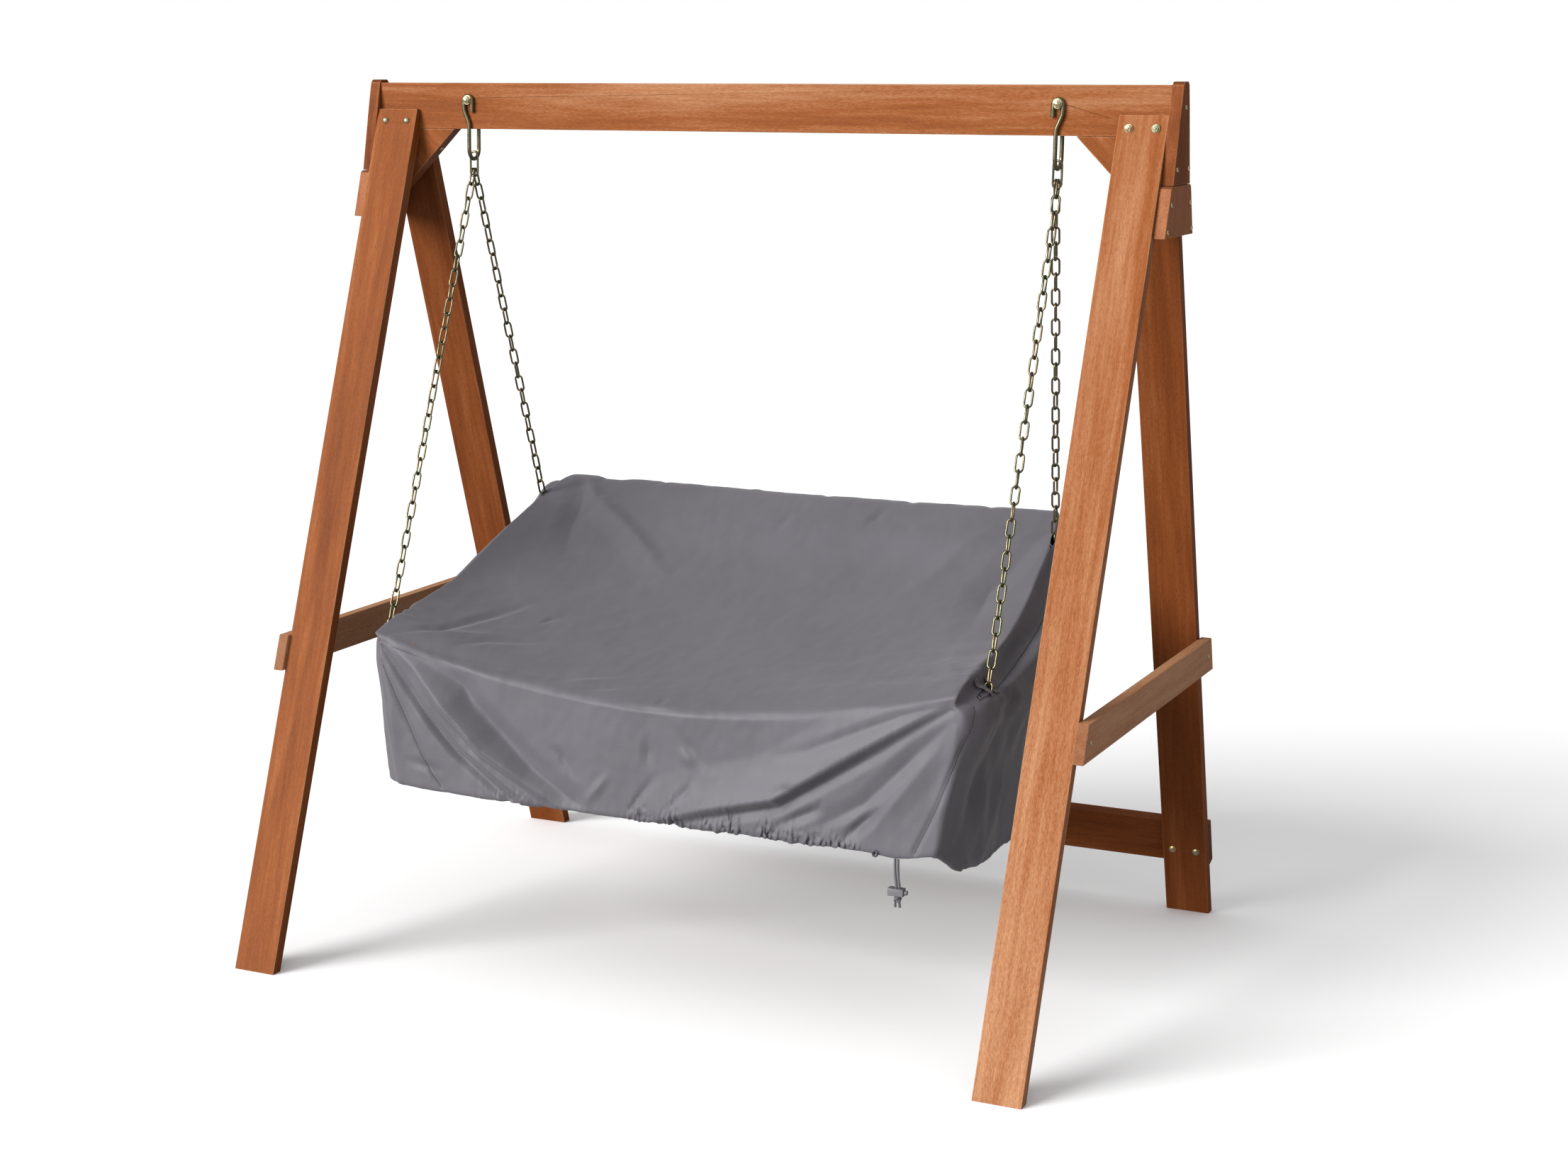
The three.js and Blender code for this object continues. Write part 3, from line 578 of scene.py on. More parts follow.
def hex_head(solids, place, axis, radius, height):
    """A six-sided head or nut with its corners turned down."""
    chamfer = 0.14 * radius
    profile = [(radius, 0), (radius, height - 0.5 * chamfer), (radius - chamfer, height)]
    vertices, faces = turned(profile, place, axis, 6)
    solids.add(vertices, faces, smooth=False)


def dome_head(solids, place, axis, radius, height):
    profile = [(radius * math.cos(a), height * math.sin(a)) for a in np.linspace(0, 1.45, 9)]
    solids.add(*turned(profile, place, axis, 28))


def stud_end(solids, place, axis, radius, length):
    """The threaded end of a bolt."""
    profile = []
    pitch = 1.0 * MM
    for i in range(int(length / pitch)):
        profile += [(radius, i * pitch), (0.86 * radius, (i + 0.5) * pitch)]
    profile += [(0.8 * radius, length)]
    solids.add(*turned(profile, place, axis, 20))


BOLT_RADIUS = 3.8 * MM
LEG_BOLT_Z = 1623
LEG_BOLT_COLUMNS = {"inner": 740.5, "outer": 789.5}


def bolt_shaft(solids, x, z, half_length, sides):
    solids.add(*sweep([(x, -half_length, z), (x, half_length, z)], BOLT_RADIUS, sides))


def make_leg_bolts():
    """Bolts through the legs and the beam: in front, domed heads on the left side and nuts on the right."""
    surface = (LEG_TOP_Y + LEG_LEAN * (LEG_TOP_Z - LEG_BOLT_Z)) * MM
    z = LEG_BOLT_Z * MM
    for side, sign in SIDES.items():
        for row, column in LEG_BOLT_COLUMNS.items():
            solids = Solids()
            x = sign * column * MM
            for end in (-1, 1):
                axis = Vector((0, end, 0))
                start = Vector((x, 0, z)) + axis * (surface - 3.5 * MM)
                seat = start + axis * 6.2 * MM
                if (sign > 0) == (end < 0):
                    washer(solids, start + axis * 4.4 * MM, axis, 7.8 * MM, 1.6 * MM)
                    hex_head(solids, seat, axis, 6.2 * MM, 4.6 * MM)
                    stud_end(solids, seat + axis * 4.6 * MM, axis, 2.7 * MM, 3.2 * MM)
                else:
                    dome_head(solids, seat - axis * 2.2 * MM, axis, 6.4 * MM, 4.6 * MM)
            bolt_shaft(solids, x, z, surface, 12)
            solids.make_bolt(f"leg_bolt_{row}_{side}")


HANGER_X, HANGER_Z = 606 * MM, 1664 * MM
BAIL_X, BAIL_Y = 604 * MM, 19.3 * MM
HOOK_FACE_Y = 23.6 * MM


def make_hanger_bolts():
    """The bolt through the beam that carries a bail, with a washer outside each hook."""
    for side, sign in SIDES.items():
        solids = Solids()
        centre = sign * HANGER_X
        for end in (-1, 1):
            axis = Vector((0, end, 0))
            start = Vector((centre, 0, HANGER_Z)) + axis * HOOK_FACE_Y
            washer(solids, start, axis, 8.8 * MM, 1.5 * MM)
            hex_head(solids, start + axis * 1.5 * MM, axis, 7.4 * MM, 4.8 * MM)
            dome_head(solids, start + axis * 6.2 * MM, axis, 4.4 * MM, 1.6 * MM)
        bolt_shaft(solids, centre, HANGER_Z, 24 * MM, 16)
        solids.make_bolt(f"hanger_bolt_{side}")


# (y, z) of the screws through the end plate and the gusset
PLATE_SCREWS = [(0, 1659), (-37, 1553), (37, 1553), (-61, 1493), (61, 1493), (-78, 1447), (78, 1447)]
RAIL_SCREW_Y, RAIL_SCREW_Z = 392, 597
BRACE_SCREW = (679, 1568.7)
STRETCHER_BOLT_COLUMNS = (740, 789)
STRETCHER_Z = 147


def make_screws(side, sign):
    """Pan-head screws of one side's end plate, gusset, side rail and brace."""
    plate_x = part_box("upper_end_plate_right")[1].x
    rail_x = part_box("side_rail_right")[1].x
    outward = (sign, 0, 0)
    solids = Solids()
    for y, z in PLATE_SCREWS:
        pan_head(solids, (sign * plate_x, y * MM, z * MM), outward)
    for y in (-RAIL_SCREW_Y, RAIL_SCREW_Y):
        pan_head(solids, (sign * rail_x, y * MM, RAIL_SCREW_Z * MM), outward)
    x, z = BRACE_SCREW
    pan_head(solids, (sign * x * MM, 0, z * MM), (-sign, 0, -1), 4.2 * MM)
    solids.make(f"zinc_screws_{side}", "stand", "bolt_zinc", BOLT_ZINC)


def make_stretcher_bolts(side, sign):
    """Domed heads on the stretcher's rear face and nuts on the front of one rear leg."""
    rear_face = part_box("rear_stretcher")[1].y
    leg_face = (LEG_FOOT_Y - LEG_DEPTH / math.cos(math.atan(LEG_LEAN)) - STRETCHER_Z * LEG_LEAN) * MM
    inward = Vector((0, -1, -LEG_LEAN)).normalized()
    solids = Solids()
    for column in STRETCHER_BOLT_COLUMNS:
        x, z = sign * column * MM, STRETCHER_Z * MM
        dome_head(solids, (x, rear_face, z), (0, 1, 0), 6.2 * MM, 3.8 * MM)
        nut = Vector((x, leg_face, z))
        washer(solids, nut, inward, 7.6 * MM, 1.4 * MM)
        hex_head(solids, nut + inward * 1.4 * MM, inward, 5.8 * MM, 4.4 * MM)
    solids.make(f"zinc_stretcher_bolts_{side}", "stand", "bolt_zinc", BOLT_ZINC, crease=30)


# -------------------------------------------------------- bails and chains
BAIL_ROD_RADIUS = 4 * MM
HOOK_Z, HOOK_RADIUS = 1663.2, 9
BOW_Z = 1568.7
HOOK_TIP = [(597, 1641), (597, 1650)]
HOOK_NECK = [(615, 1651), (613.5, 1642), (606, 1624), (604, 1615), (604, 1590), (604, BOW_Z)]


def make_bails():
    """A bent rod hooked over the hanger bolt on both faces of the beam, with its bow below."""
    over = arc((606, HOOK_Z, 0), (HOOK_RADIUS, 0, 0), (0, HOOK_RADIUS, 0), math.pi * (1 - np.arange(9) / 8))
    face = [*HOOK_TIP, *((p.x, p.y) for p in over), *HOOK_NECK]
    for side, sign in SIDES.items():
        front = smooth_line([(sign * x * MM, -BAIL_Y, z * MM) for x, z in face], 2.5 * MM)
        middle = (sign * BAIL_X, 0, BOW_Z * MM)
        bow = arc(middle, (0, -BAIL_Y, 0), (0, 0, -BAIL_Y), math.pi * np.arange(1, 20) / 20)
        rear = [(p.x, -p.y, p.z) for p in reversed(front)]
        solids = Solids()
        solids.add(*sweep([*front, *bow, *rear], BAIL_ROD_RADIUS, 16))
        solids.make_chain(f"hanger_bail_{side}", "stand")


def stadium(centre, lengthwise, widthwise, half_length, bow_radius, steps=9):
    """The centre line of a link: two straight sides joined by two half circles."""
    centre, lengthwise, widthwise = Vector(centre), Vector(lengthwise), Vector(widthwise)
    angles = math.pi * (np.arange(steps) / (steps - 1) - 0.5)
    points = []
    for end in (1, -1):
        middle = centre + end * (half_length - bow_radius) * lengthwise
        points += arc(middle, end * bow_radius * lengthwise, end * bow_radius * widthwise, angles)
    return points


TOP_LINK_UPPER, TOP_LINK_LOWER = 1556 * MM, 1523.5 * MM
TOP_LINK_BOW, TOP_LINK_WIRE = 8 * MM, 4.5 * MM


def make_top_links():
    """The shackle link that hangs in each bail's bow and carries both chains."""
    half_length = (TOP_LINK_UPPER - TOP_LINK_LOWER) / 2 + TOP_LINK_BOW
    for side, sign in SIDES.items():
        middle = (sign * BAIL_X, 0, (TOP_LINK_UPPER + TOP_LINK_LOWER) / 2)
        loop = stadium(middle, (0, 0, 1), (1, 0, 0), half_length, TOP_LINK_BOW, 13)
        solids = Solids()
        solids.add(*sweep(loop, TOP_LINK_WIRE / 2, 12, closed=True))
        solids.make_chain(f"top_link_{side}")


LINK_WIRE = 4.2 * MM
LINK_PITCH = 29.75 * MM
LINK_HALF_LENGTH = (LINK_PITCH + LINK_WIRE) / 2
LINK_BOW = (18 * MM - LINK_WIRE) / 2
FIRST_LINK, LAST_LINK_TO_EYE = 9.825 * MM, 11.175 * MM
# where each right-hand chain starts and aims at, its number of links, and how far they twist, in degrees
CHAINS = {
    "front": {"start": (606.5, 0, 1523.5), "aim": (621, -333, 642), "links": 32, "turn": 11},
    "rear": {"start": (601.5, 0, 1523.5), "aim": (556.7, 253.9, 709.9), "links": 29, "turn": 14},
}


def chain_line(end, sign):
    """Where a chain starts and its direction."""
    start = Vector(CHAINS[end]["start"]) * MM
    aim = Vector(CHAINS[end]["aim"]) * MM
    start.x *= sign
    aim.x *= sign
    return start, (aim - start).normalized()


def chain_at(end, sign, height):
    """Where a chain's line passes a height."""
    start, direction = chain_line(end, sign)
    return start + direction * ((start.z - height) / -direction.z)


def make_chains():
    for side, sign in SIDES.items():
        for end, facts in CHAINS.items():
            start, direction = chain_line(end, sign)
            fore_and_aft = Vector((1, 0, 0)).cross(direction).normalized()
            sideways = direction.cross(fore_and_aft)
            solids = Solids()
            last = facts["links"] - 1
            for k in range(last + 1):
                drift = math.sin(math.pi * k / last) * math.sin(0.31 * k + facts["turn"] + sign)
                turn = Matrix.Rotation(math.radians(facts["turn"]) * drift, 3, direction)
                wide = turn @ (sideways if k % 2 else fore_and_aft)
                centre = start + direction * (FIRST_LINK + k * LINK_PITCH)
                loop = stadium(centre, direction, wide, LINK_HALF_LENGTH, LINK_BOW)
                solids.add(*sweep(loop, LINK_WIRE / 2, 10, closed=True))
            solids.make_chain(f"{end}_chain_{side}")


def chain_end(end, sign):
    """The centre of the wire of the eye that the last link hangs in."""
    start, direction = chain_line(end, sign)
    links = CHAINS[end]["links"]
    return start + direction * (FIRST_LINK + (links - 1) * LINK_PITCH + LAST_LINK_TO_EYE)


EYE_RING, EYE_WIRE = 8 * MM, 2.5 * MM
EYE_SHANK, EYE_DEPTH = 3 * MM, 34 * MM
# how far out from the middle the wood's face is that each eye bolt is screwed into
EYE_FACES = {"front": 596 * MM, "rear": 540 * MM}


def make_eye_bolts():
    """The eyes under the cover: the front ones lie flat, the rear ones stand up."""
    for side, sign in SIDES.items():
        for end, face in EYE_FACES.items():
            flat = end == "front"
            centre = chain_end(end, sign)
            centre += Vector((-sign * EYE_RING, 0, 0)) if flat else Vector((0, 0, -EYE_RING))
            second = Vector((0, EYE_RING, 0)) if flat else Vector((0, 0, EYE_RING))
            loop = arc(centre, (EYE_RING, 0, 0), second, full_turn(24))
            neck = centre - Vector((sign * EYE_RING, 0, 0))
            tip = Vector((sign * (face - EYE_DEPTH), centre.y, centre.z))
            solids = Solids()
            solids.add(*sweep(loop, EYE_WIRE, 12, closed=True))
            solids.add(*sweep([neck, tip], EYE_SHANK, 14))
            node = f"{end}_eye_bolt_{side}"
            solids.make("zinc_" + node, "swing", "bolt_zinc", BOLT_ZINC, (node,))


# ------------------------------------------------------------------ drawcord
CORD_RADIUS = 2.4 * MM
CORD_Y = -450
CORD_X = 503.5
CORD_ROUTES = {
    "left": [
        (500.6, -450, 358), (500.8, -450, 344), (501.6, -450.2, 331), (503.1, -450.8, 319),
        (504.9, -451.3, 308), (505, -450.6, 297), (505.2, -450.2, 288), (504.2, -450.4, 281),
        (503.4, -450.6, 275), (503.8, -450.8, 268.5),
    ],
    "right": [
        (506.4, -450, 358), (506.6, -450, 344), (507.2, -449.8, 331), (508.2, -449.6, 319),
        (509.9, -449.3, 308), (510, -449.8, 297), (510.2, -450, 288), (510.6, -450, 281),
        (511.2, -450, 275), (512.4, -450, 268.5),
    ],
}


def braided(name, line, radius, sides, node, closed=False):
    """A braided cord along the line. Its cloth attribute holds the way along it and the turn round it."""
    vertices, faces = sweep(line, radius, sides, closed)
    mesh = rounded_mesh(name, vertices, faces, None if closed else 50)
    steps = [(b - a).length for a, b in zip(line, line[1:])]
    if closed:
        steps = [sum(steps) / len(steps)] * len(line)
    lengths = np.cumsum([0] + steps)
    corners = []
    for polygon in mesh.polygons:
        rings = [i // sides for i in polygon.vertices]
        turns = [i % sides for i in polygon.vertices]
        over_end = closed and len(line) - 1 in rings
        over_seam = sides - 1 in turns
        for ring, turn in zip(rings, turns):
            ring = len(line) if over_end and ring == 0 else ring
            turn = sides if over_seam and turn == 0 else turn
            corners.append((lengths[ring], 2 * math.pi * turn / sides, 0))
    set_attribute(mesh, "cloth", "CORNER", corners)
    return place_object(name, mesh, "swing", CORD_BRAID, (node,)), float(lengths[-1])


def make_cords():
    for side, route in CORD_ROUTES.items():
        line = smooth_line([Vector(p) * MM for p in route], 2 * MM)
        strand, length = braided(f"cord_strand_{side}", line, CORD_RADIUS, 16, f"drawcord_{side}")


KNOT_CENTRE = (507.6, CORD_Y - 0.4, 284)


def make_knot():
    """The overhand knot that keeps both strands in the lock."""
    loop = []
    for angle in full_turn(64):
        reach = 4.3 + 1.2 * math.cos(3 * angle)
        aside, back = reach * math.cos(2 * angle), 0.8 * reach * math.sin(2 * angle)
        loop.append((Vector(KNOT_CENTRE) + Vector((aside, back, 3.1 * math.sin(3 * angle)))) * MM)
    braided("cord_knot", loop, 2.3 * MM, 14, "cord_end_knot", closed=True)


def moulded(node, bevel):
    """A plastic part with the CAD node's shape and rounded edges."""
    shape = clean_shape(node, 1e-6)
    sharp = turned_edges(shape, 50)
    bmesh.ops.bevel(
        shape, geom=sharp, offset=bevel, segments=3, profile=0.5, affect="EDGES", clamp_overlap=True
    )
    mesh = bpy.data.meshes.new("plastic_" + node)
    shape.to_mesh(mesh)
    shape.free()
    mesh.polygons.foreach_set("use_smooth", [True] * len(mesh.polygons))
    mesh.set_sharp_from_angle(angle=math.radians(35))
    set_attribute(mesh, "place", "POINT", [v.co for v in mesh.vertices])
    return place_object("plastic_" + node, mesh, node, LOCK_PLASTIC, (node,))


# --------------------------------------------------------------------- cover
# stations of the cover from front to rear, in millimetres
COVER_KEYS = "top_y hem_y ridge_x shoulder_x hem_x ridge_z shoulder_z middle_z hem_z".split()
COVER_STATIONS = np.array(
    [
        (-424, -440, 598, 606, 552, 661, 637, 580, 371),
        (-383, -402, 592, 623, 586, 676, 646, 594, 342),
        (-300, -300, 585, 627, 600, 690, 655, 616, 326),
        (-116, -110, 573, 623, 602, 713, 676, 668, 324),
        (20, 20, 563, 613, 600, 751, 711, 718, 328),
        (125, 115, 558, 599, 594, 789, 744, 766, 334),
        (219, 200, 560, 587, 582, 845, 791, 834, 342),
        (318, 262, 534, 565, 560, 877, 837, 872, 350),
        (341, 284, 524, 551, 540, 871, 833, 866, 354),
    ],
    float,
)
# at each station, how far one side's lines stand from those above: the cloth is pulled tight on the left
STATION_SHIFTS = {
    "left": {
        "ridge_z": (0, 2, 5, 24, 42, 40, 8, 0, 0),
        "shoulder_z": (6, 5, 12, 18, 34, 46, 38, 22, 6),
        "shoulder_x": (-20, -17, -12, -4, 0, 0, 0, 0, 0),
        "hem_z": (0, 26, 26, 12, 0, 0, 0, 0, 0),
    },
    "right": {"ridge_x": (0, 5, 12, 13, 12, 5, 0, 0, 0)},
}
COVER_COLUMNS = 440
COVER_ROWS_DEEP = 124
COVER_ROWS_DOWN = 56
ROW_PITCH = 6.2
HALF_BACK = 560
# how much the top's edge bulges at the very front, and the depth where the bulge begins
BULGE_FROM, BULGE = -300, 12
# a side panel's rows: its share of the way down at each knot, and how far the cloth between the
# ridge, the shoulder and the hem stands in or out
SIDE_KNOTS = np.array([0, 0.05, 0.11, 0.55, 1.0])
HOLLOW_STANDS = np.array([-8.0, 0, -6.0])
BELLY_STANDS = np.array([3.0, 0, 0])
LEFT_APEX = (-598, -424, 661)
FRONT_CREASE_Y = -430
RIGHT_CORNER = (600, FRONT_CREASE_Y)
CORNER_TOP_Z = 640
CURL_ANGLES = (30, 60, 90, 125, 160)
CURL_RADIUS = 7.5
FRONT_CORNER_ASIDE = {"left": -14, "right": 24}
FRONT_SLIT_ROW = 5
# each slit's middle and half length along the depth, half its gap, and how far off the cloth gives way
FRONT_SLIT = {"middle": -338, "half": 34, "gap": 4.5, "fade": 24}
REAR_SLIT = {"middle": 211, "half": 22, "gap": 5, "fade": 26}
COVER_THICKNESS = 1.1 * MM


def hermite(xs, ys, x):
    """A smooth curve through (xs, ys) at x."""
    slopes = np.gradient(ys, xs)
    i = np.clip(np.searchsorted(xs, x) - 1, 0, len(xs) - 2)
    width = xs[i + 1] - xs[i]
    t = (x - xs[i]) / width
    return (
        (2 * t**3 - 3 * t**2 + 1) * ys[i]
        + (t**3 - 2 * t**2 + t) * width * slopes[i]
        + (3 * t**2 - 2 * t**3) * ys[i + 1]
        + (t**3 - t**2) * width * slopes[i + 1]
    )


def cover_profiles(side):
    """The stations' values on one side, evenly spaced from front to rear."""
    tops = COVER_STATIONS[:, 0]
    depth = np.linspace(tops[0], tops[-1], COVER_ROWS_DEEP + 1)
    profiles = {}
    for i, key in enumerate(COVER_KEYS):
        values = COVER_STATIONS[:, i] + np.array(STATION_SHIFTS[side].get(key, 0.0))
        profiles[key] = hermite(tops, values, depth)
    return profiles


def lens(depth, slit):
    """Half the opening of a slit at a depth, which is zero at both its ends."""
    share = np.clip(1 - ((depth - slit["middle"]) / slit["half"]) ** 2, 0, None)
    return slit["gap"] * share**0.7


def top_panel(profiles):
    """Rows from front to rear that sag between the ridges, with the front edge bulging a little."""
    u = np.linspace(-1, 1, COVER_COLUMNS + 1)[None, :]
    left, right = ({key: line[:, None] for key, line in profiles[side].items()} for side in SIDES)
    middle, depth = left["middle_z"], left["top_y"]
    ridge_x, ridge_z = (np.where(u < 0, left[key], right[key]) for key in ("ridge_x", "ridge_z"))
    front = np.clip((BULGE_FROM - depth) / (BULGE_FROM - depth[0]), 0, 1)
    z = middle + (ridge_z - middle) * abs(u) ** (2.0 - 0.15 * front)
    y = depth - BULGE * front * (1 - u**2)
    opening = lens(depth, REAR_SLIT) * np.exp(-(1 - abs(u)) * HALF_BACK / REAR_SLIT["fade"])
    return np.stack([u * ridge_x - np.sign(u) * opening, y + 0 * u, z], axis=-1)


def side_panel(profiles, side):
    """Rows from the ridge down to the hem, with a hollow above the seam and the cloth hanging below it."""
    shoulder_y = profiles["top_y"] + 0.1 * (profiles["hem_y"] - profiles["top_y"])
    ridge = np.stack([profiles["ridge_x"], profiles["top_y"], profiles["ridge_z"]], axis=-1)
    shoulder = np.stack([profiles["shoulder_x"], shoulder_y, profiles["shoulder_z"]], axis=-1)
    hem = np.stack([profiles["hem_x"], profiles["hem_y"], profiles["hem_z"]], axis=-1)
    hollow = 0.5 * (ridge + shoulder) + HOLLOW_STANDS
    belly = 0.5 * (shoulder + hem) + BELLY_STANDS
    w = np.linspace(0, 1, COVER_ROWS_DOWN + 1)
    rows = np.empty((COVER_ROWS_DOWN + 1, COVER_ROWS_DEEP + 1, 3))
    for i in range(COVER_ROWS_DEEP + 1):
        points = np.stack([ridge[i], hollow[i], shoulder[i], belly[i], hem[i]])
        for axis in range(3):
            rows[:, i, axis] = hermite(SIDE_KNOTS, points[:, axis], w)
    down = np.arange(COVER_ROWS_DOWN + 1)[:, None] * ROW_PITCH
    rows[:, :, 0] += lens(profiles["top_y"], REAR_SLIT)[None, :] * np.exp(-down / REAR_SLIT["fade"])
    near_corner = np.exp(-(profiles["top_y"] - profiles["top_y"][0]) / 35)[None, :]
    rows[:, :, 0] += FRONT_CORNER_ASIDE[side] * near_corner * w[:, None] ** 1.5
    rows[:, :, 0] *= SIDES[side]
    return rows


def coons(top, bottom, left, right):
    """A patch between four border curves, with rows from top to bottom."""
    u = np.linspace(0, 1, len(top))[None, :, None]
    w = np.linspace(0, 1, len(left))[:, None, None]
    across = (1 - u) * left[:, None] + u * right[:, None]
    downward = (1 - w) * top[None] + w * bottom[None]
    upper = (1 - w) * ((1 - u) * top[0] + u * top[-1])
    lower = w * ((1 - u) * bottom[0] + u * bottom[-1])
    return across + downward - upper - lower


def end_panel(top, left, right, sag, lift):
    """The front or rear panel, between the top's border and both sides' borders."""
    u = np.linspace(-1, 1, len(top))
    bottom = left[-1] + (right[-1] - left[-1]) * (u[:, None] + 1) / 2
    bottom[:, 1] += sag * (1 - u**2)
    bottom[:, 2] -= lift * (1 - u**4)
    return coons(top, bottom, left, right)


def with_curl(rows):
    """Adds the rows that the elastic pulls in and up under the hem."""
    hem = rows[-1]
    inward = np.stack([-hem[:, 0], -(hem[:, 1] + 80), 0 * hem[:, 0]], axis=-1)
    inward /= np.linalg.norm(inward, axis=1)[:, None]
    extra = []
    for degrees in CURL_ANGLES:
        angle = math.radians(degrees)
        drop = np.array([0, 0, -CURL_RADIUS * math.sin(angle)])
        extra.append(hem + inward * CURL_RADIUS * (1 - math.cos(angle)) + drop)
    return np.concatenate([rows, np.array(extra)])


class Weld:
    """Joins panels along the borders where their points fall together."""

    def __init__(self):
        self.points = []
        self.known = {}
        self.faces = []
        self.corners = []

    def index(self, point):
        key = tuple(np.round(point, 3))
        if key not in self.known:
            self.known[key] = len(self.points)
            self.points.append(point)
        return self.known[key]

    def add(self, rows, cloth, flipped):
        """Adds a grid of points, with its place on the cut cloth for each point."""
        height, width = rows.shape[:2]
        ids = np.array([[self.index(rows[i, j]) for j in range(width)] for i in range(height)])
        for i in range(height - 1):
            for j in range(width - 1):
                cells = [(i, j), (i, j + 1), (i + 1, j + 1), (i + 1, j)]
                if flipped:
                    cells.reverse()
                self.faces.append([ids[c] for c in cells])
                self.corners += [cloth[c] for c in cells]
        return ids


def cut_places(rows):
    """How far each point of a grid lies across and along the cloth, in metres."""
    across = np.cumsum(np.linalg.norm(np.diff(rows, axis=1, prepend=rows[:, :1]), axis=2), axis=1)
    along = np.cumsum(np.linalg.norm(np.diff(rows, axis=0, prepend=rows[:1]), axis=2), axis=0)
    across -= across[:, -1:] / 2
    return np.stack([across, along, 0 * along], axis=-1) * MM


# folds: the line that each follows over its panel, its height along that line, and its width on the
# line's left and right as seen from outside, in millimetres. A line's places are (x, z) on the front
# and rear, (x, y) on the top and (y, z) on the sides. SHOULDER_FOLDS are the right side's own
LEFT_CORNER_FOLDS = [
    ([(-580, 635), (-460, 490), (-410, 445), (-295, 365)], (-4, -14, -15, -12, -8), (11, 9)),
    ([(-565, 635), (-510, 570), (-385, 450), (-255, 370)], (2, 12, 12, 6), (15, 14)),
    ([(-475, 560), (-445, 525), (-355, 445), (-220, 365)], (0, -10, -11, -5), (12, 10)),
    ([(-560, 640), (-495, 600), (-345, 455), (-230, 385)], (3, 23, 36, 36, 24, 8), (28, 20)),
    ([(-510, 630), (-400, 575), (-375, 540), (-250, 430), (-160, 375)], (-1, -9, -14, -14, -7), (22, 15)),
    ([(-570, 600), (-540, 380)], (0, 4, 2), (16, 18)),
]
RIGHT_CORNER_FOLDS = [
    ([(575, 645), (260, 435), (110, 395), (45, 370)], (2, 19, 23, 10), (11, 48)),
    ([(585, 635), (270, 425), (50, 365)], (-3, -8, -10, -5), (13, 7)),
    ([(575, 645), (495, 615), (320, 530), (240, 510)], (-1, -5, -5, 0), (13, 10)),
    ([(580, 605), (430, 445), (355, 400)], (-1, -6, -7, -3), (12, 15)),
    ([(590, 590), (450, 400)], (0, 4, 5, 2), (18, 16)),
    ([(465, 445), (395, 380)], (0, -10, -11, -4), (13, 7)),
    ([(350, 445), (345, 425), (270, 390)], (0, -8, -8, -3), (11, 7)),
    ([(260, 450), (290, 460), (315, 460)], (0, -5, 0), (9, 8)),
    ([(600, 600), (600, 520), (580, 385)], (2, 5, 3), (14, 16)),
]
FRONT_FOLDS = [
    ([(-210, 480), (-185, 465), (-160, 430)], (0, -5, -1), (9, 7)),
    ([(-35, 380), (20, 455)], (-4, -4, 0), (7, 9)),
    ([(-80, 440), (-125, 385)], (0, 5, 2), (9, 8)),
    ([(55, 400), (85, 430), (100, 460)], (-1, -4, 0), (8, 8)),
    ([(60, 510), (110, 470)], (0, 4, 0), (9, 9)),
    ([(0, 530), (0, 455)], (0, -4, 0), (12, 10)),
    ([(50, 550), (120, 475)], (0, -3, 0), (9, 9)),
    ([(-420, 440), (-370, 430), (-330, 395)], (0, -3, 0), (7, 7)),
    ([(-530, 420), (-430, 400)], (0, -4, 0), (9, 7)),
]
TOP_FOLDS = [
    ([(-570, -415), (-535, -390), (-495, -350), (-380, -135)], (-2, -7, -6, 0), (13, 8)),
    ([(-565, -420), (-425, -320), (-350, -285)], (2, 6, 4, 0), (13, 13)),
    ([(-460, -405), (-395, -325), (-270, -255)], (0, -4, -3, 0), (9, 8)),
    ([(-215, -425), (-190, -405), (-85, -345)], (0, 5, 0), (9, 9)),
    ([(-200, -435), (-50, -365)], (0, -5, 0), (8, 10)),
    ([(-535, -425), (-335, -400), (-165, -365)], (-3, -7, -4, 0), (24, 18)),
    ([(-345, -220), (-330, -190), (-310, -170)], (0, -4, 0), (7, 7)),
    ([(10, -420), (30, -400)], (-1, -4, 0), (6, 6)),
    ([(-500, 305), (-440, 215), (-295, 125), (-150, 0)], (2, 11, 11, 7, 3, 0), (16, 30)),
    ([(-510, 300), (-465, 200), (-450, 125), (-410, 10)], (-2, -9, -8, 0), (30, 26)),
    ([(165, 220), (195, 275)], (0, -5, -1), (10, 13)),
    ([(300, 30), (335, 65), (385, 175), (450, 255)], (0, 5, 5, 1), (22, 26)),
    ([(-65, 185), (-15, 200), (5, 235)], (0, -4, 0), (9, 9)),
    ([(545, 225), (510, 160), (480, 70), (500, -85)], (-2, -10, -10, -2), (24, 30)),
    ([(590, -405), (520, -250), (500, -160)], (2, 6, 0), (20, 26)),
    ([(40, 300), (45, 340)], (0, -4, -3), (8, 10)),
    ([(-335, 290), (-315, 340)], (0, -4, -3), (10, 8)),
    ([(-120, 295), (-110, 340)], (0, 3, 2), (9, 9)),
    ([(235, 290), (225, 340)], (0, -4, -3), (9, 9)),
    ([(400, 290), (395, 340)], (0, -4, -3), (10, 8)),
    ([(-470, 325), (-435, 325)], (-7, -7), (22, 22)),
]
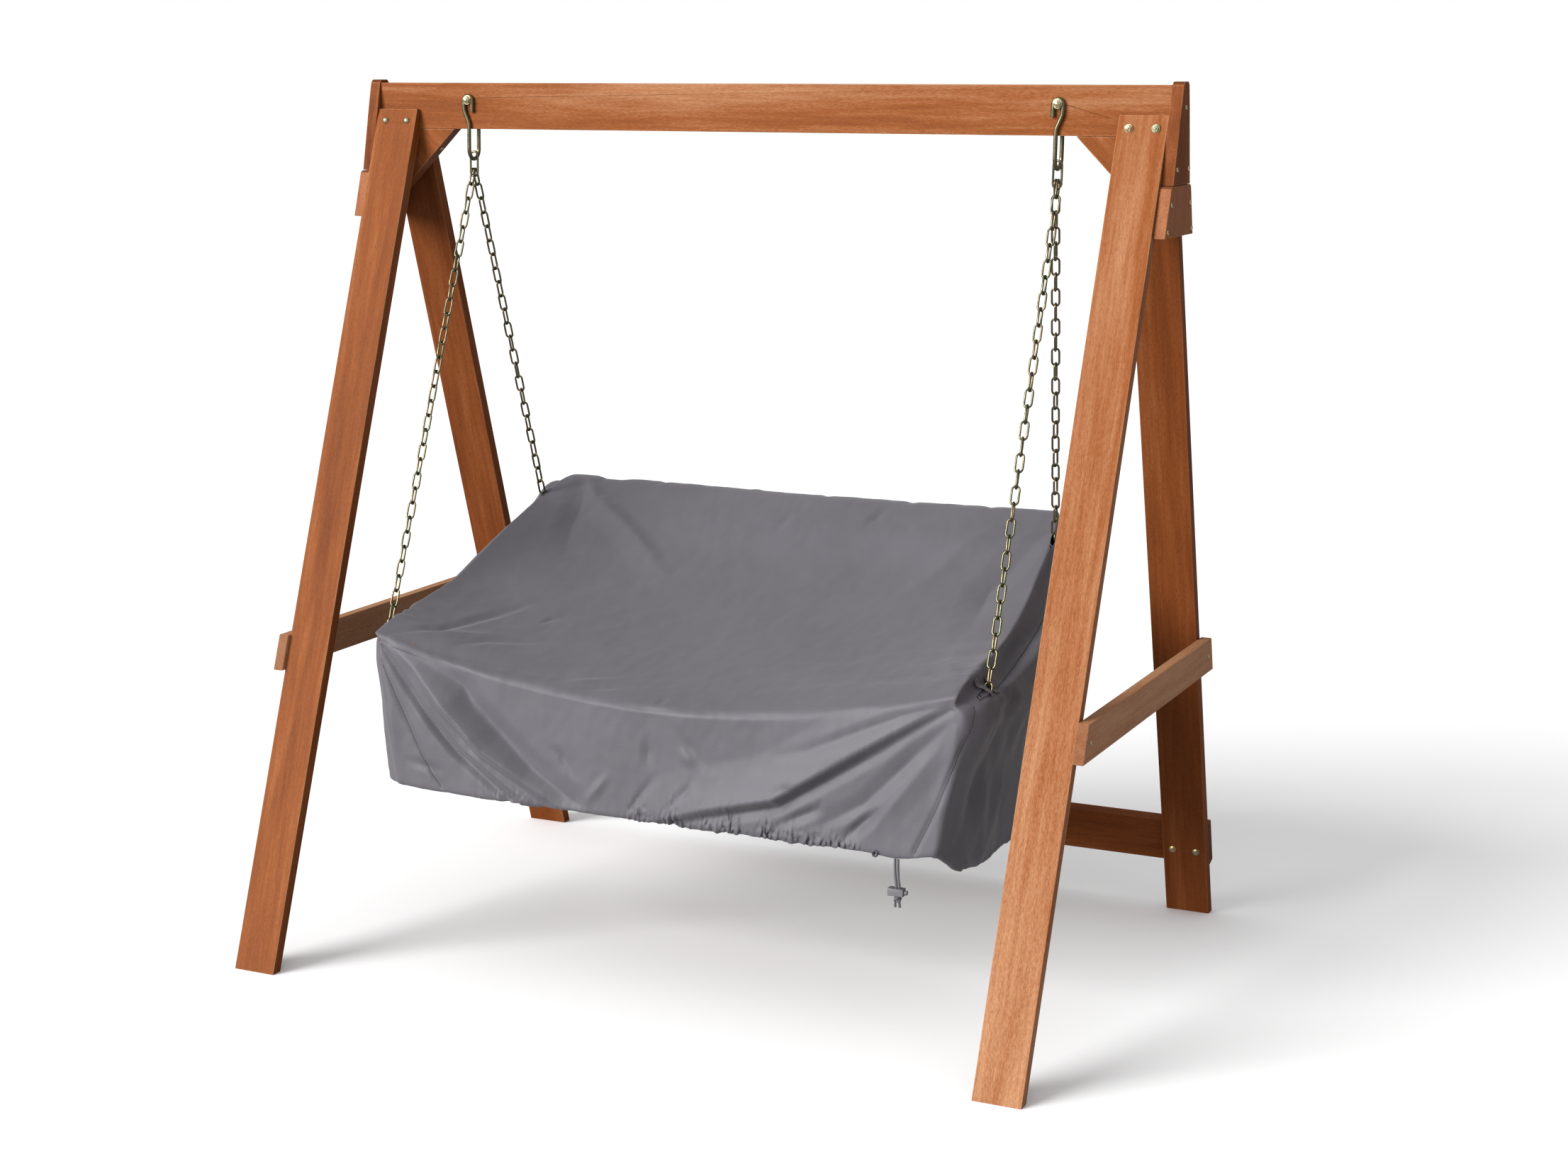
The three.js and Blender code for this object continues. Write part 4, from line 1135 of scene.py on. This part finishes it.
SIDE_FOLDS = [
    ([(-340, 610), (-315, 520), (-300, 345)], (2, 8, 9, 6), (18, 24)),
    ([(-300, 625), (-235, 570), (-200, 470), (-190, 345)], (-3, -10, -8, -4), (22, 26)),
    ([(-270, 640), (-180, 610), (-80, 560), (0, 470)], (3, 8, 8, 0), (20, 26)),
    ([(-130, 650), (-110, 450), (-105, 345)], (1, 6, 6, 4), (24, 28)),
    ([(20, 690), (40, 560), (20, 345)], (2, 8, 7, 4), (28, 34)),
    ([(200, 775), (150, 640), (120, 500), (110, 355)], (3, 10, 8, 5), (26, 34)),
    ([(215, 780), (195, 360)], (-2, -9, -8, -4), (22, 26)),
    ([(60, 700), (85, 600), (70, 360)], (-1, -7, -7, -3), (20, 24)),
    ([(255, 800), (240, 560), (240, 370)], (1, 6, 6, 3), (18, 22)),
]
LEFT_SIDE_FOLDS = [
    ([(-395, 620), (-400, 390)], (0, 6, 3), (20, 16)),
    ([(-370, 620), (-350, 360)], (-2, -9, -9, -5), (20, 16)),
]
SHOULDER_FOLDS = [
    ([(-260, 635), (-390, 380)], (-6, -17, -18, -8), (30, 46)),
    ([(-180, 600), (-215, 500), (-290, 345)], (2, 9, 10, 8), (34, 26)),
    ([(-330, 640), (-370, 560)], (-3, -6, 0), (7, 8)),
    ([(-315, 640), (-330, 560)], (2, 5, 0), (8, 7)),
    ([(-300, 645), (-260, 585)], (-3, -5, 0), (8, 8)),
    ([(-320, 655), (-100, 690), (20, 715), (125, 750)], (-4, -11, -11, -8, -3), (10, 15)),
    ([(-300, 645), (-100, 670), (20, 700), (125, 730)], (2, 6, 7, 6, 0), (12, 9)),
    ([(-400, 655), (-345, 670)], (-1, -6, -3), (9, 7)),
    ([(-380, 670), (-200, 690)], (1, 6, 6, 0), (14, 10)),
]
REAR_FOLDS = [
    ([(-505, 845), (-400, 700), (-340, 540), (-310, 370)], (3, 12, 9, 5), (24, 34)),
    ([(-515, 840), (-465, 660), (-440, 500), (-430, 370)], (-3, -10, -8, -4), (20, 26)),
    ([(505, 845), (410, 700), (350, 540), (330, 370)], (3, 12, 9, 5), (34, 24)),
    ([(515, 840), (470, 660), (440, 370)], (-3, -10, -8, -4), (26, 20)),
    ([(140, 860), (60, 540), (70, 370)], (0, 8, 8, 5), (26, 36)),
    ([(200, 860), (160, 540), (165, 370)], (0, -7, -7, -4), (22, 28)),
    ([(-120, 860), (-90, 690), (-115, 520), (-90, 370)], (0, -8, -8, -4), (24, 28)),
    ([(-190, 860), (-175, 690), (-195, 520), (-185, 370)], (0, 6, 7, 4), (24, 28)),
]
MIRRORED_FOLDS = [(line, heights, widths[::-1]) for line, heights, widths in SIDE_FOLDS]
PANEL_FOLDS = {
    "front": LEFT_CORNER_FOLDS + RIGHT_CORNER_FOLDS + FRONT_FOLDS,
    "top": TOP_FOLDS,
    "left": LEFT_SIDE_FOLDS + MIRRORED_FOLDS,
    "right": SIDE_FOLDS + SHOULDER_FOLDS,
    "rear": REAR_FOLDS,
}
PANEL_AXES = {"front": [0, 2], "rear": [0, 2], "top": [0, 1], "left": [1, 2], "right": [1, 2]}


# how far a fold reaches to each side in its widths, how sharp its top is, and its share of its width at
# its start, which it leaves behind over the first quarter of its length
FOLD_REACH, FOLD_SHARPNESS, FOLD_START_WIDTH = 1.75, 1.3, 0.45


def fold_offsets(points, normals, line, heights, widths):
    """How far a fold lifts each point along its normal."""
    nearest = np.full(len(points), 1e9)
    place = np.zeros(len(points))
    side = np.zeros(len(points))
    lengths = np.linalg.norm(np.diff(line, axis=0), axis=1)
    total, before = lengths.sum(), 0.0
    for start, end, length in zip(line, line[1:], lengths):
        step = (end - start) / length
        reach = np.clip((points - start) @ step, 0, length)
        offset = points - start - reach[:, None] * step
        distance = np.linalg.norm(offset, axis=1)
        closer = distance < nearest
        nearest = np.where(closer, distance, nearest)
        place = np.where(closer, (before + reach) / total, place)
        side = np.where(closer, np.sign((np.cross(normals, step) * offset).sum(1)), side)
        before += length
    height = np.interp(place, np.linspace(0, 1, len(heights)), heights)
    width = np.where(side > 0, *widths) * np.interp(place, (0, 0.25), (FOLD_START_WIDTH, 1))
    return height * np.clip(1 - nearest / (FOLD_REACH * width), 0, None) ** FOLD_SHARPNESS


def vertex_normals(points, faces):
    quads = points[faces]
    face_normals = np.cross(quads[:, 2] - quads[:, 0], quads[:, 3] - quads[:, 1])
    normals = np.zeros_like(points)
    for corner in range(4):
        np.add.at(normals, faces[:, corner], face_normals)
    return normals / np.maximum(np.linalg.norm(normals, axis=1)[:, None], 1e-9)


def relaxed(points, faces, rounds, strength):
    """Moves each point towards the middle of its neighbours. strength is one number for each point."""
    pairs = np.concatenate([faces[:, [0, 1]], faces[:, [1, 2]], faces[:, [2, 3]], faces[:, [3, 0]]])
    counts = np.zeros(len(points))
    np.add.at(counts, pairs[:, 0], 1)
    np.add.at(counts, pairs[:, 1], 1)
    for _ in range(rounds):
        sums = np.zeros_like(points)
        np.add.at(sums, pairs[:, 0], points[pairs[:, 1]])
        np.add.at(sums, pairs[:, 1], points[pairs[:, 0]])
        points = points + strength[:, None] * (sums / counts[:, None] - points)
    return points


def on_cover(points, place):
    """The cover's point that is nearest to a place."""
    return points[((points - np.array(place)) ** 2).sum(1).argmin()]


def panel_line(points, panel, ids, places):
    """The panel's points that are nearest to places given along its two axes."""
    own = points[np.unique(ids[panel])]
    flat = own[:, PANEL_AXES[panel]]
    return np.array([own[((flat - place) ** 2).sum(1).argmin()] for place in places])


def wrinkles(points, scale, seed):
    """A smooth random field from -1 to 1, stretched by the scale in each direction."""
    shift = Vector((seed * 7.3, seed * 3.1, seed * 5.7))
    return np.array([noise.noise(Vector(p * scale) + shift) for p in points])


def split_loop(above, below):
    """The points round the hole between two borders that are joined at both ends."""
    split = [j for j in range(len(above)) if above[j] != below[j]]
    return [above[j] for j in split] + [below[j] for j in reversed(split)]


def add_side(weld, rows, slit, flipped):
    """Adds a side panel with its front slit. Returns its points and those round the slit."""
    cloth = cut_places(rows)
    down = np.gradient(rows, axis=0)
    down /= np.linalg.norm(down, axis=2)[:, :, None]
    row = np.arange(len(rows))[:, None]
    below_ridge = np.clip(row / 3, 0, 1)
    fade = np.exp(-abs(row - FRONT_SLIT_ROW) * ROW_PITCH / FRONT_SLIT["fade"])
    apart = down * (slit[None, :] * fade * below_ridge)[:, :, None]
    cut = FRONT_SLIT_ROW
    above = weld.add((rows - apart)[: cut + 1], cloth[: cut + 1], flipped)
    below = weld.add((rows + apart)[cut:], cloth[cut:], flipped)
    return np.concatenate([above, below[1:]]), split_loop(above[cut], below[0])


def build_cover():
    """The cover's points, faces, places on the cut cloth, and the points of each panel and slit."""
    profiles = {name: cover_profiles(name) for name in SIDES}
    weld = Weld()
    top = top_panel(profiles)
    sides = {name: side_panel(profiles[name], name) for name in SIDES}
    left, right = sides["left"], sides["right"]
    front = with_curl(end_panel(top[0], left[:, 0], right[:, 0], 4, 8))
    rear = with_curl(end_panel(top[-1], left[:, -1], right[:, -1], -4, 2))
    ids = {"top": weld.add(top, cut_places(top), flipped=False)}
    ids["front"] = weld.add(front, cut_places(front), flipped=True)
    ids["rear"] = weld.add(rear, cut_places(rear), flipped=False)
    slit = lens(profiles["left"]["top_y"], FRONT_SLIT)
    slit_ids = {}
    for name, sign in SIDES.items():
        ids[name], slit_ids["front_" + name] = add_side(weld, with_curl(sides[name]), slit, sign > 0)
        top_border = ids["top"][:, -1 if sign > 0 else 0]
        slit_ids["rear_" + name] = split_loop(top_border, ids[name][0])
    return np.array(weld.points), np.array(weld.faces), np.array(weld.corners), ids, slit_ids


def soften(points, faces):
    """Rounds the ridges, the front crease, which is softest in the middle, and the right front corner."""
    apex = np.linalg.norm(points - LEFT_APEX, axis=1)
    strength = 0.25 * (1 - 0.9 * np.exp(-((apex / 45) ** 2)))
    points = relaxed(points, faces, 3, strength)
    middle = np.clip(1 - (points[:, 0] / 520) ** 2, 0, 1)
    near_crease = np.exp(-(((points[:, 1] - FRONT_CREASE_Y) / 40) ** 2))
    above_front = np.clip((points[:, 2] - 480) / 40, 0, 1)
    points = relaxed(points, faces, 16, 0.9 * middle * near_crease * above_front)
    below_top = np.clip((CORNER_TOP_Z - points[:, 2]) / 60, 0, 1)
    right_corner = np.linalg.norm(points[:, :2] - RIGHT_CORNER, axis=1)
    return relaxed(points, faces, 26, 0.8 * np.exp(-((right_corner / 30) ** 2)) * below_top)


def smooth_noise(*place):
    """Smooth noise from -1 to 1 at a place."""
    return noise.noise(Vector(place))


def gather(name, run, height):
    """How far a gather moves the cloth out and up, at a height over the hem and a way along it."""
    if name == "front":
        full = np.clip((run + 60) / 50, 0, 1) * np.clip((450 - run) / 50, 0, 1)
        full = max(full, 0.8 * math.exp(-(((run + 285) / 45) ** 2)))
    else:
        full = 0.45
    pitch = 15.0 if name in ("front", "rear") else 27.0
    turns = run / pitch + 2.1 * smooth_noise(run / 41, 2.0, height / 70)
    turns += 1.1 * smooth_noise(run / 17, 9.0, height / 30)
    ripple = 2.2 * abs(math.sin(math.pi * turns)) ** 0.7 - 1.4
    ripple += 1.2 * smooth_noise(run / 9, 4.0, height / 30) + 1.7 * smooth_noise(run / 7, 12.0, height / 6)
    strength = float(np.clip(0.5 + 1.1 * smooth_noise(run / 38, 5.0, 1.0), 0, 1))
    size = (0.3 + 3.0 * full) * (0.4 + 1.1 * strength)
    outward = ripple * size * math.exp(-height / (7 + 15 * strength))
    upward = 3.2 * full * smooth_noise(run / 19, 7.0, 3.0) * math.exp(-height / 14)
    if name == "front":
        upward -= 6.5 * math.exp(-(((run - CORD_X) / 42) ** 2) - height / 25)
    return outward, upward


GATHERED_ROWS = 14
COVER_MIDDLE = np.array([0.0, -80.0])


def hem_gathers(points, ids):
    """Ripples of the elastic hem, which die out upwards."""
    hems = {}
    for name in ("front", "rear", "left", "right"):
        for row in ids[name][COVER_ROWS_DOWN - GATHERED_ROWS :]:
            for index, hem_index in zip(row, ids[name][COVER_ROWS_DOWN]):
                hems.setdefault(index, (name, points[hem_index]))
    moved = points.copy()
    for index, (name, hem) in hems.items():
        height = max(0.0, points[index][2] - hem[2])
        run = hem[0] if name in ("front", "rear") else hem[1]
        direction = hem[:2] - COVER_MIDDLE
        outward, upward = gather(name, run, height)
        moved[index][:2] += direction / np.linalg.norm(direction) * outward
        moved[index][2] += upward
    return moved


# wrinkles all over the cover: where, how high, how long in x, y and z, and the noise's seed
WRINKLES = [
    ("sides", 3.2, (90, 90, 260), 1),
    ("top", 2.0, (230, 60, 60), 2),
    ("all", 0.9, (38, 38, 60), 3),
    ("all", 0.5, (17, 17, 24), 6),
]
SEAM_GROOVE = ((-3.2, -3.2), (6, 4.5))
FRONT_SLIT_Z = 0.665


def slit_puckers(points):
    """Creases that run out from where the front chains pass through the cover."""
    offsets = np.zeros(len(points))
    for sign in SIDES.values():
        away = points - np.array(chain_at("front", sign, FRONT_SLIT_Z)) / MM
        distance = np.linalg.norm(away, axis=1)
        angle = np.arctan2(away[:, 2], away[:, 1])
        fade = np.exp(-((distance / 75) ** 2)) * np.clip((distance - 14) / 30, 0, 1)
        offsets += 3.2 * fade * np.sin(7 * angle + distance / 22)
    return offsets


def cover_offsets(points, normals, ids):
    """How far folds, seams, wrinkles and puckers lift each point along its normal."""
    offsets = slit_puckers(points)
    for panel, folds in PANEL_FOLDS.items():
        for places, heights, widths in folds:
            line = panel_line(points, panel, ids, places)
            offsets += fold_offsets(points, normals, line, heights, widths)
    for places in SEAM_LINES.values():
        line = np.array([on_cover(points, place) for place in places])
        offsets += fold_offsets(points, normals, line, *SEAM_GROOVE)
    on_top = np.zeros(len(points))
    on_top[ids["top"].ravel()] = 1
    share = {"all": 1.0, "top": on_top, "sides": 1 - on_top}
    for where, height, lengths, seed in WRINKLES:
        offsets += height * share[where] * wrinkles(points, 1 / np.array(lengths), seed)
    return offsets


def make_cover():
    """The cover's cloth, what its trimmings are laid on, and the points round its slits."""
    points, faces, corners, ids, slit_ids = build_cover()
    smooth = soften(points, faces)
    normals = vertex_normals(smooth, faces)
    points = smooth + normals * cover_offsets(smooth, normals, ids)[:, None]
    points = relaxed(points, faces, 1, np.full(len(points), 0.3))
    points = hem_gathers(points, ids)
    mesh = rounded_mesh("cover_cloth", (points * MM).tolist(), faces.tolist())
    set_attribute(mesh, "cloth", "CORNER", corners)
    cover = place_object("cover_cloth", mesh, "swing", COVER_FABRIC, ("bench_cover",))
    thickness = cover.modifiers.new("thickness", "SOLIDIFY")
    thickness.thickness = COVER_THICKNESS
    thickness.offset = -1
    return cover, Drape(smooth, points, faces), slit_ids


# seams, over the finished cover, in millimetres
SEAM_LINES = {
    "front_left": [(-579, -430, 600), (-488, -439, 429), (-446, -442, 372)],
    "front_right": [(619, -398, 640), (604, -425, 556), (567, -438, 452), (531, -443, 372)],
    "shoulder_right": [(622, -378, 652), (632, -340, 656), (630, -283, 662), (614, -99, 690), (606, 20, 716),
                       (594, 125, 750), (570, 262, 806)],
    "shoulder_left": [(-600, -378, 652), (-612, -300, 664), (-616, -99, 698), (-608, 20, 744),
                      (-583, 200, 820), (-570, 262, 840)],
    "back": [(-515, 333, 874), (-240, 338, 869), (0, 339, 867), (240, 338, 869), (515, 333, 874)],
}
SEAM_HALF_WIDTH, SEAM_HALF_HEIGHT = 1.5 * MM, 0.8 * MM
STITCH_PITCH, STITCH_LENGTH = 4.6 * MM, 3.1 * MM
STITCH_ASIDE, STITCH_RISE = 3.4 * MM, 0.15 * MM
STITCH_HALF_WIDTH, STITCH_HALF_HEIGHT = 0.45 * MM, 0.3 * MM


def ribbon(path, ups, half_width, half_height, sides=8):
    """A flat band along the path that faces the directions in ups."""
    count = len(path)
    angles = full_turn(sides) + math.pi / sides
    vertices = []
    for i in range(count):
        tangent = (path[min(i + 1, count - 1)] - path[max(i - 1, 0)]).normalized()
        up = (ups[i] - ups[i].dot(tangent) * tangent).normalized()
        across = tangent.cross(up)
        vertices += arc(path[i], half_width * across, half_height * up, angles)
    return vertices, skin(count, sides, flipped=True)


class Drape:
    """The cover before and after it is folded: a line drawn on the smooth cover keeps to the cloth."""

    def __init__(self, smooth, folded, faces):
        self.smooth, self.folded, self.faces = smooth * MM, folded * MM, faces
        self.normals = vertex_normals(folded, faces)
        self.tree = BVHTree.FromPolygons([Vector(p) for p in self.smooth], faces.tolist())

    def place(self, point):
        """Where the smooth cover's nearest point lies once folded, and the outward direction there."""
        nearest, _, index, _ = self.tree.find_nearest(point)
        corners = self.faces[index]
        shares = np.array(poly_3d_calc([Vector(p) for p in self.smooth[corners]], nearest))
        return Vector(shares @ self.folded[corners]), Vector(shares @ self.normals[corners]).normalized()

    def line(self, points, step):
        """Places along a line and the outward directions there."""
        found = [self.place(p) for p in smooth_line([Vector(p) * MM for p in points], step)]
        return [place for place, _ in found], [normal for _, normal in found]


def make_seams(drape):
    """The sewn seams as low ridges, with a row of stitches beside each."""
    seams, stitches = Solids(), Solids()
    for line in SEAM_LINES.values():
        path, ups = drape.line(line, 4 * MM)
        seams.add(*ribbon(path, ups, SEAM_HALF_WIDTH, SEAM_HALF_HEIGHT))
        path, ups = drape.line(line, STITCH_PITCH / 4)
        for i in range(0, len(path) - 4, 4):
            along = (path[i + 2] - path[i]).normalized()
            middle = path[i] + along.cross(ups[i]) * STITCH_ASIDE + ups[i] * STITCH_RISE
            reach = along * STITCH_LENGTH / 2
            stitch = [middle - reach, middle, middle + reach]
            stitches.add(*ribbon(stitch, [ups[i]] * 3, STITCH_HALF_WIDTH, STITCH_HALF_HEIGHT, 6))
    seams.make("cover_seams", "swing", "cover_fabric", SEAM_THREAD)
    stitches.make("cover_stitches", "swing", "cover_fabric", SEAM_THREAD)


BINDING_RADIUS = 1.5 * MM
# the two strips that close a front slit: how far behind and outside its middle each lies, in
# millimetres, half its length, and how much it turns towards the rear
SLIT_STRIPS = [(-15, -4, 21, 0.25), (16, 3, 17, -0.35)]
STRIP_SIZE = (6.2 * MM, 1.1 * MM)
BACKING_SIZE = (15 * MM, 0.7 * MM)
BACKING_DEPTH = 3.4 * MM
STRIP_LIFT, STRIP_BOW = 2.2, 3.5
STRIPS_Z = 0.662


def slit_strip(drape, middle, sign, strip):
    """A folded strip that bows up over the cover beside a chain."""
    behind, outside, reach, turn = strip
    path, ups = [], []
    for share in np.arange(-4, 5) / 4:
        along = share * reach
        guess = middle + Vector((sign * (outside + along * 0.75), behind + along * turn, -along * 0.7)) * MM
        place, normal = drape.place(guess)
        rise = (STRIP_LIFT + STRIP_BOW * math.cos(math.pi * share / 2)) * MM
        path.append(place + normal * rise)
        ups.append(normal)
    return ribbon(path, ups, *STRIP_SIZE, 12)


def slit_backing(drape, middle):
    """The band of cloth behind a slit, which keeps the bench from showing through it."""
    found = [drape.place(middle + Vector((0, dy, 0)) * MM) for dy in range(-36, 37, 6)]
    path = [place - normal * BACKING_DEPTH for place, normal in found]
    return ribbon(path, [normal for _, normal in found], *BACKING_SIZE, 12)


def make_slit_trim(drape, slit_ids):
    """The bound edges of the slits, and the strips that close them round the chains."""
    trim = Solids()
    for ids in slit_ids.values():
        trim.add(*sweep(drape.folded[ids], BINDING_RADIUS, 8, closed=True))
    for sign in SIDES.values():
        middle = chain_at("front", sign, STRIPS_Z)
        for strip in SLIT_STRIPS:
            trim.add(*slit_strip(drape, middle, sign, strip))
        trim.add(*slit_backing(drape, middle))
    trim.make("cover_slit_trim", "swing", "cover_fabric", COVER_FABRIC)


HEM_LOOP_PLACE = (458, -446, 362)


def make_hem_loop(drape):
    """The small loop of webbing sewn under the front hem."""
    top = drape.place(Vector(HEM_LOOP_PLACE) * MM)[0] - Vector((0, 0, 1.5)) * MM
    ring = arc(top, Vector((4.4, 0, 0)) * MM, Vector((0, 0.6, 5.6)) * MM, full_turn(20))
    loop = Solids()
    loop.add(*sweep(ring, 2.1 * MM, 10, closed=True, upright=(0, 1, 0), flatten=2.2))
    loop.make("cover_hem_loop", "swing", "cover_fabric", COVER_FABRIC)


def make_cover_trim(drape, slit_ids):
    make_seams(drape)
    make_slit_trim(drape, slit_ids)
    make_hem_loop(drape)


# ----------------------------------------------------------- floor and light
FLOOR_HALF = 90


def make_floor():
    half = FLOOR_HALF
    corners = [(-half, -half, 0), (half, -half, 0), (half, half, 0), (-half, half, 0)]
    mesh = bpy.data.meshes.new("floor")
    mesh.from_pydata(corners, [], [(0, 1, 2, 3)])
    mesh.materials.append(floor_material())
    floor = bpy.data.objects.new("floor", mesh)
    bpy.context.scene.collection.objects.link(floor)


SUN_FROM = (-0.512, -0.79, 0.335)
SUN_STRENGTH = 5.2
SUN_SPREAD = math.radians(32)
FILL_FROM = (-0.5, -0.8, 0.33)
FILL_LOW, FILL_HIGH = 0.14, 1.1


def make_lights():
    """A broad soft light from the left in front, in a white studio that is brighter on that side."""
    world = bpy.data.worlds.new("studio")
    bpy.context.scene.world = world
    world.use_nodes = True
    tree = world.node_tree
    direction = shade(tree, "TexCoord").outputs["Generated"]
    facing = shade(tree, "VectorMath", {"operation": "DOT_PRODUCT"}, s0=direction, s1=FILL_FROM)
    fill = fitted(facing.outputs["Value"], -1, 1, FILL_LOW, FILL_HIGH)
    seen = shade(tree, "LightPath").outputs["Is Camera Ray"]
    strength = computed("MAXIMUM", fill, seen)
    sky = tree.nodes["Background"]
    sky.inputs[0].default_value = (1, 1, 1, 1)
    put(sky.inputs[1], strength)
    light = bpy.data.lights.new("key", "SUN")
    light.energy = SUN_STRENGTH
    light.angle = SUN_SPREAD
    key = bpy.data.objects.new("key", light)
    bpy.context.scene.collection.objects.link(key)
    key.rotation_euler = Vector(SUN_FROM).to_track_quat("Z", "Y").to_euler()
    bpy.context.scene.view_settings.view_transform = "Standard"


make_camera()
make_knot()
make_cords()
make_stand_boards()
make_bench_boards()
make_leg_bolts()
make_hanger_bolts()
for side, sign in SIDES.items():
    make_screws(side, sign)
    make_stretcher_bolts(side, sign)
make_bails()
make_top_links()
make_chains()
make_eye_bolts()
moulded("cord_lock", 1.2 * MM)
moulded("cord_lock_button", 0.8 * MM)
COVER, DRAPE, SLIT_IDS = make_cover()
make_cover_trim(DRAPE, SLIT_IDS)
make_floor()
make_lights()
